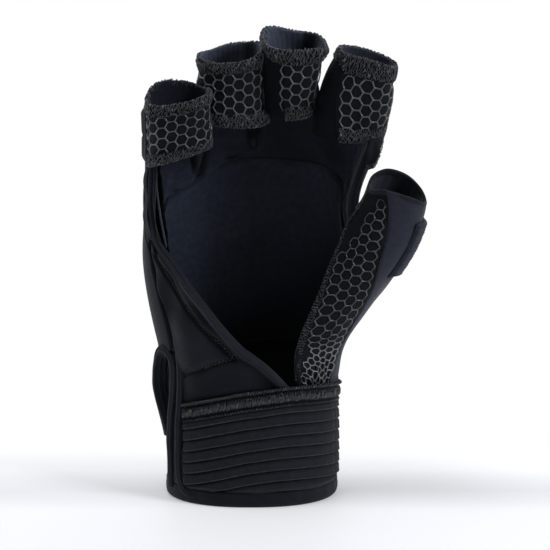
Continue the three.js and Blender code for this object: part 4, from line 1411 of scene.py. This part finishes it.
THIN_PROFILE = [(0, -2.4, 0.05), (0.35, -1.2, 0.22), (0.55, -0.2, 0.2), (0.7, 0.2, -0.3),
                (0.85, -0.2, -0.95), (1, -2.2, -1.1)]


def thumb_folds(flat):
    """Slack in the thumb's grip, and the gathers at its base."""
    waves = np.sin(2 * math.pi * (flat[:, 0] + 0.8 * slack(flat, 9, 103)) / 3.4)
    return 0.5 * slack(flat, 22, 101) + 0.55 * waves * ease((15 - flat[:, 1]) / 12)


thumb_form, thumb_width = measure(tube_form(THUMB, THUMB_BOXINESS, "thumb"))
grip = shift(cut("thumb_grip_mesh", thumb_width, THUMB_LENGTH + TUCK, 0.6), y=-TUCK)
flat = corners(grip)
flat[:, 2] = thumb_folds(flat)
lay(grip, flat, thumb_form, thumb_width, THUMB_LENGTH, wall=1.4)
sew_on(grip, [mesh_cloth], ["thumb_grip"])


def gathered(x, y):
    """Where the free cloth of the print goes: its cells crowd together at the base."""
    up = np.where(y < GATHER_TOP, GATHER_TOP - (GATHER_TOP - y) * 0.62, y)
    crowd = 1 - 0.45 * ease(1 - up / GATHER_TOP)
    return thumb_width - (thumb_width - x) * crowd, up


def on_thumb_print(x, y):
    x, y = gathered(x, y)
    return (x > follow(PRINT_LEFT, y)[0]) & (x < thumb_width - 1.6) & (y < THUMB_LENGTH - 5) & (y > -1)


printed = hexagons("thumb_grip_print", thumb_width * 1.9, THUMB_LENGTH + 16,
                   (thumb_width - 44, -16), on_thumb_print)
flat = corners(printed)
flat[:, 0], flat[:, 1] = gathered(flat[:, 0], flat[:, 1])
crumple = ease(1 - flat[:, 1] / GATHER_TOP)
flat[:, 0] += 0.7 * crumple * slack(flat, 7, 131)
flat[:, 1] += 0.7 * crumple * slack(flat, 6, 132)
flat[:, 2] += PRINT_LIFT + thumb_folds(flat)
move(printed, flat)
wrap(printed, thumb_form, thumb_width, THUMB_LENGTH)
sew_on(printed, [thumb_silicone])

# A lighter copy of the neoprene for the thumb's back and pad, where the light falls on them: painted light.
lit_thumb_neoprene = cloth(
    "lit_thumb_neoprene", (0.0108, 0.0124, 0.0209), (0.0254, 0.0282, 0.0445),
    pitch=(0.42, 0.5), depth=0.45, rough=0.78, sheen=0.16
)
thumb_back_form, thumb_back_width = measure(
    tube_form(THUMB, THUMB_BOXINESS, "thumb", lambda columns: (columns[1] + 0.6, columns[2]))
)
back = shift(cut("thumb_back_cloth", thumb_back_width, THUMB_LENGTH + TUCK, 0.8), y=-TUCK)
back.data.materials.append(lit_thumb_neoprene)
back.data.materials.append(lit_finger_lining)
flat = corners(back)
flat[:, 2] = 0.45 * slack(flat, 24, 105)
lay(back, flat, thumb_back_form, thumb_back_width, THUMB_LENGTH, wall=1.0,
    material_offset=1, material_offset_rim=1)
sew_on(back, [], ["thumb_back"])

rim_form, rim_width = measure(
    tube_form(THUMB, THUMB_BOXINESS, "thumb", lambda columns: (columns[0], columns[2])), 1.0
)
thumb_rim = strip("thumb_rim", rim_width, 0.7)
bind(thumb_rim, rim_form, rim_width, THUMB_LENGTH, "top", THIN_PROFILE)
sew_on(thumb_rim, [neoprene])
thumb_edge = strip("thumb_grip_edge", SEAM_LENGTH)
bind(thumb_edge, thumb_form, thumb_width, THUMB_LENGTH, "left", thin=0.4)
sew_on(thumb_edge, [mesh_cloth])
edge_sewing = overlock("thumb_grip_overlock", thumb_form, thumb_width, SEAM_LENGTH, "left", 120, 0.4, 1.1)
sew_on(edge_sewing, [tape_thread])

# Thumb pad: thin foam under a ribbed cover, on the outside of the thumb.
foam_pad(
    "thumb", THUMB, THUMB_BOXINESS, (316, 405), THUMB_LENGTH, THUMB_PAD_START, THUMB_PAD_LENGTH, 0.45,
    lambda edge, y: 0.2 + (1.6 + 0.3 * np.sin(2 * math.pi * y / 1.5)) * ease(edge / 1.8) ** 0.6,
    lit_thumb_neoprene,
)

# The box of the finished glove and of the solids that are still shown.
low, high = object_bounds()
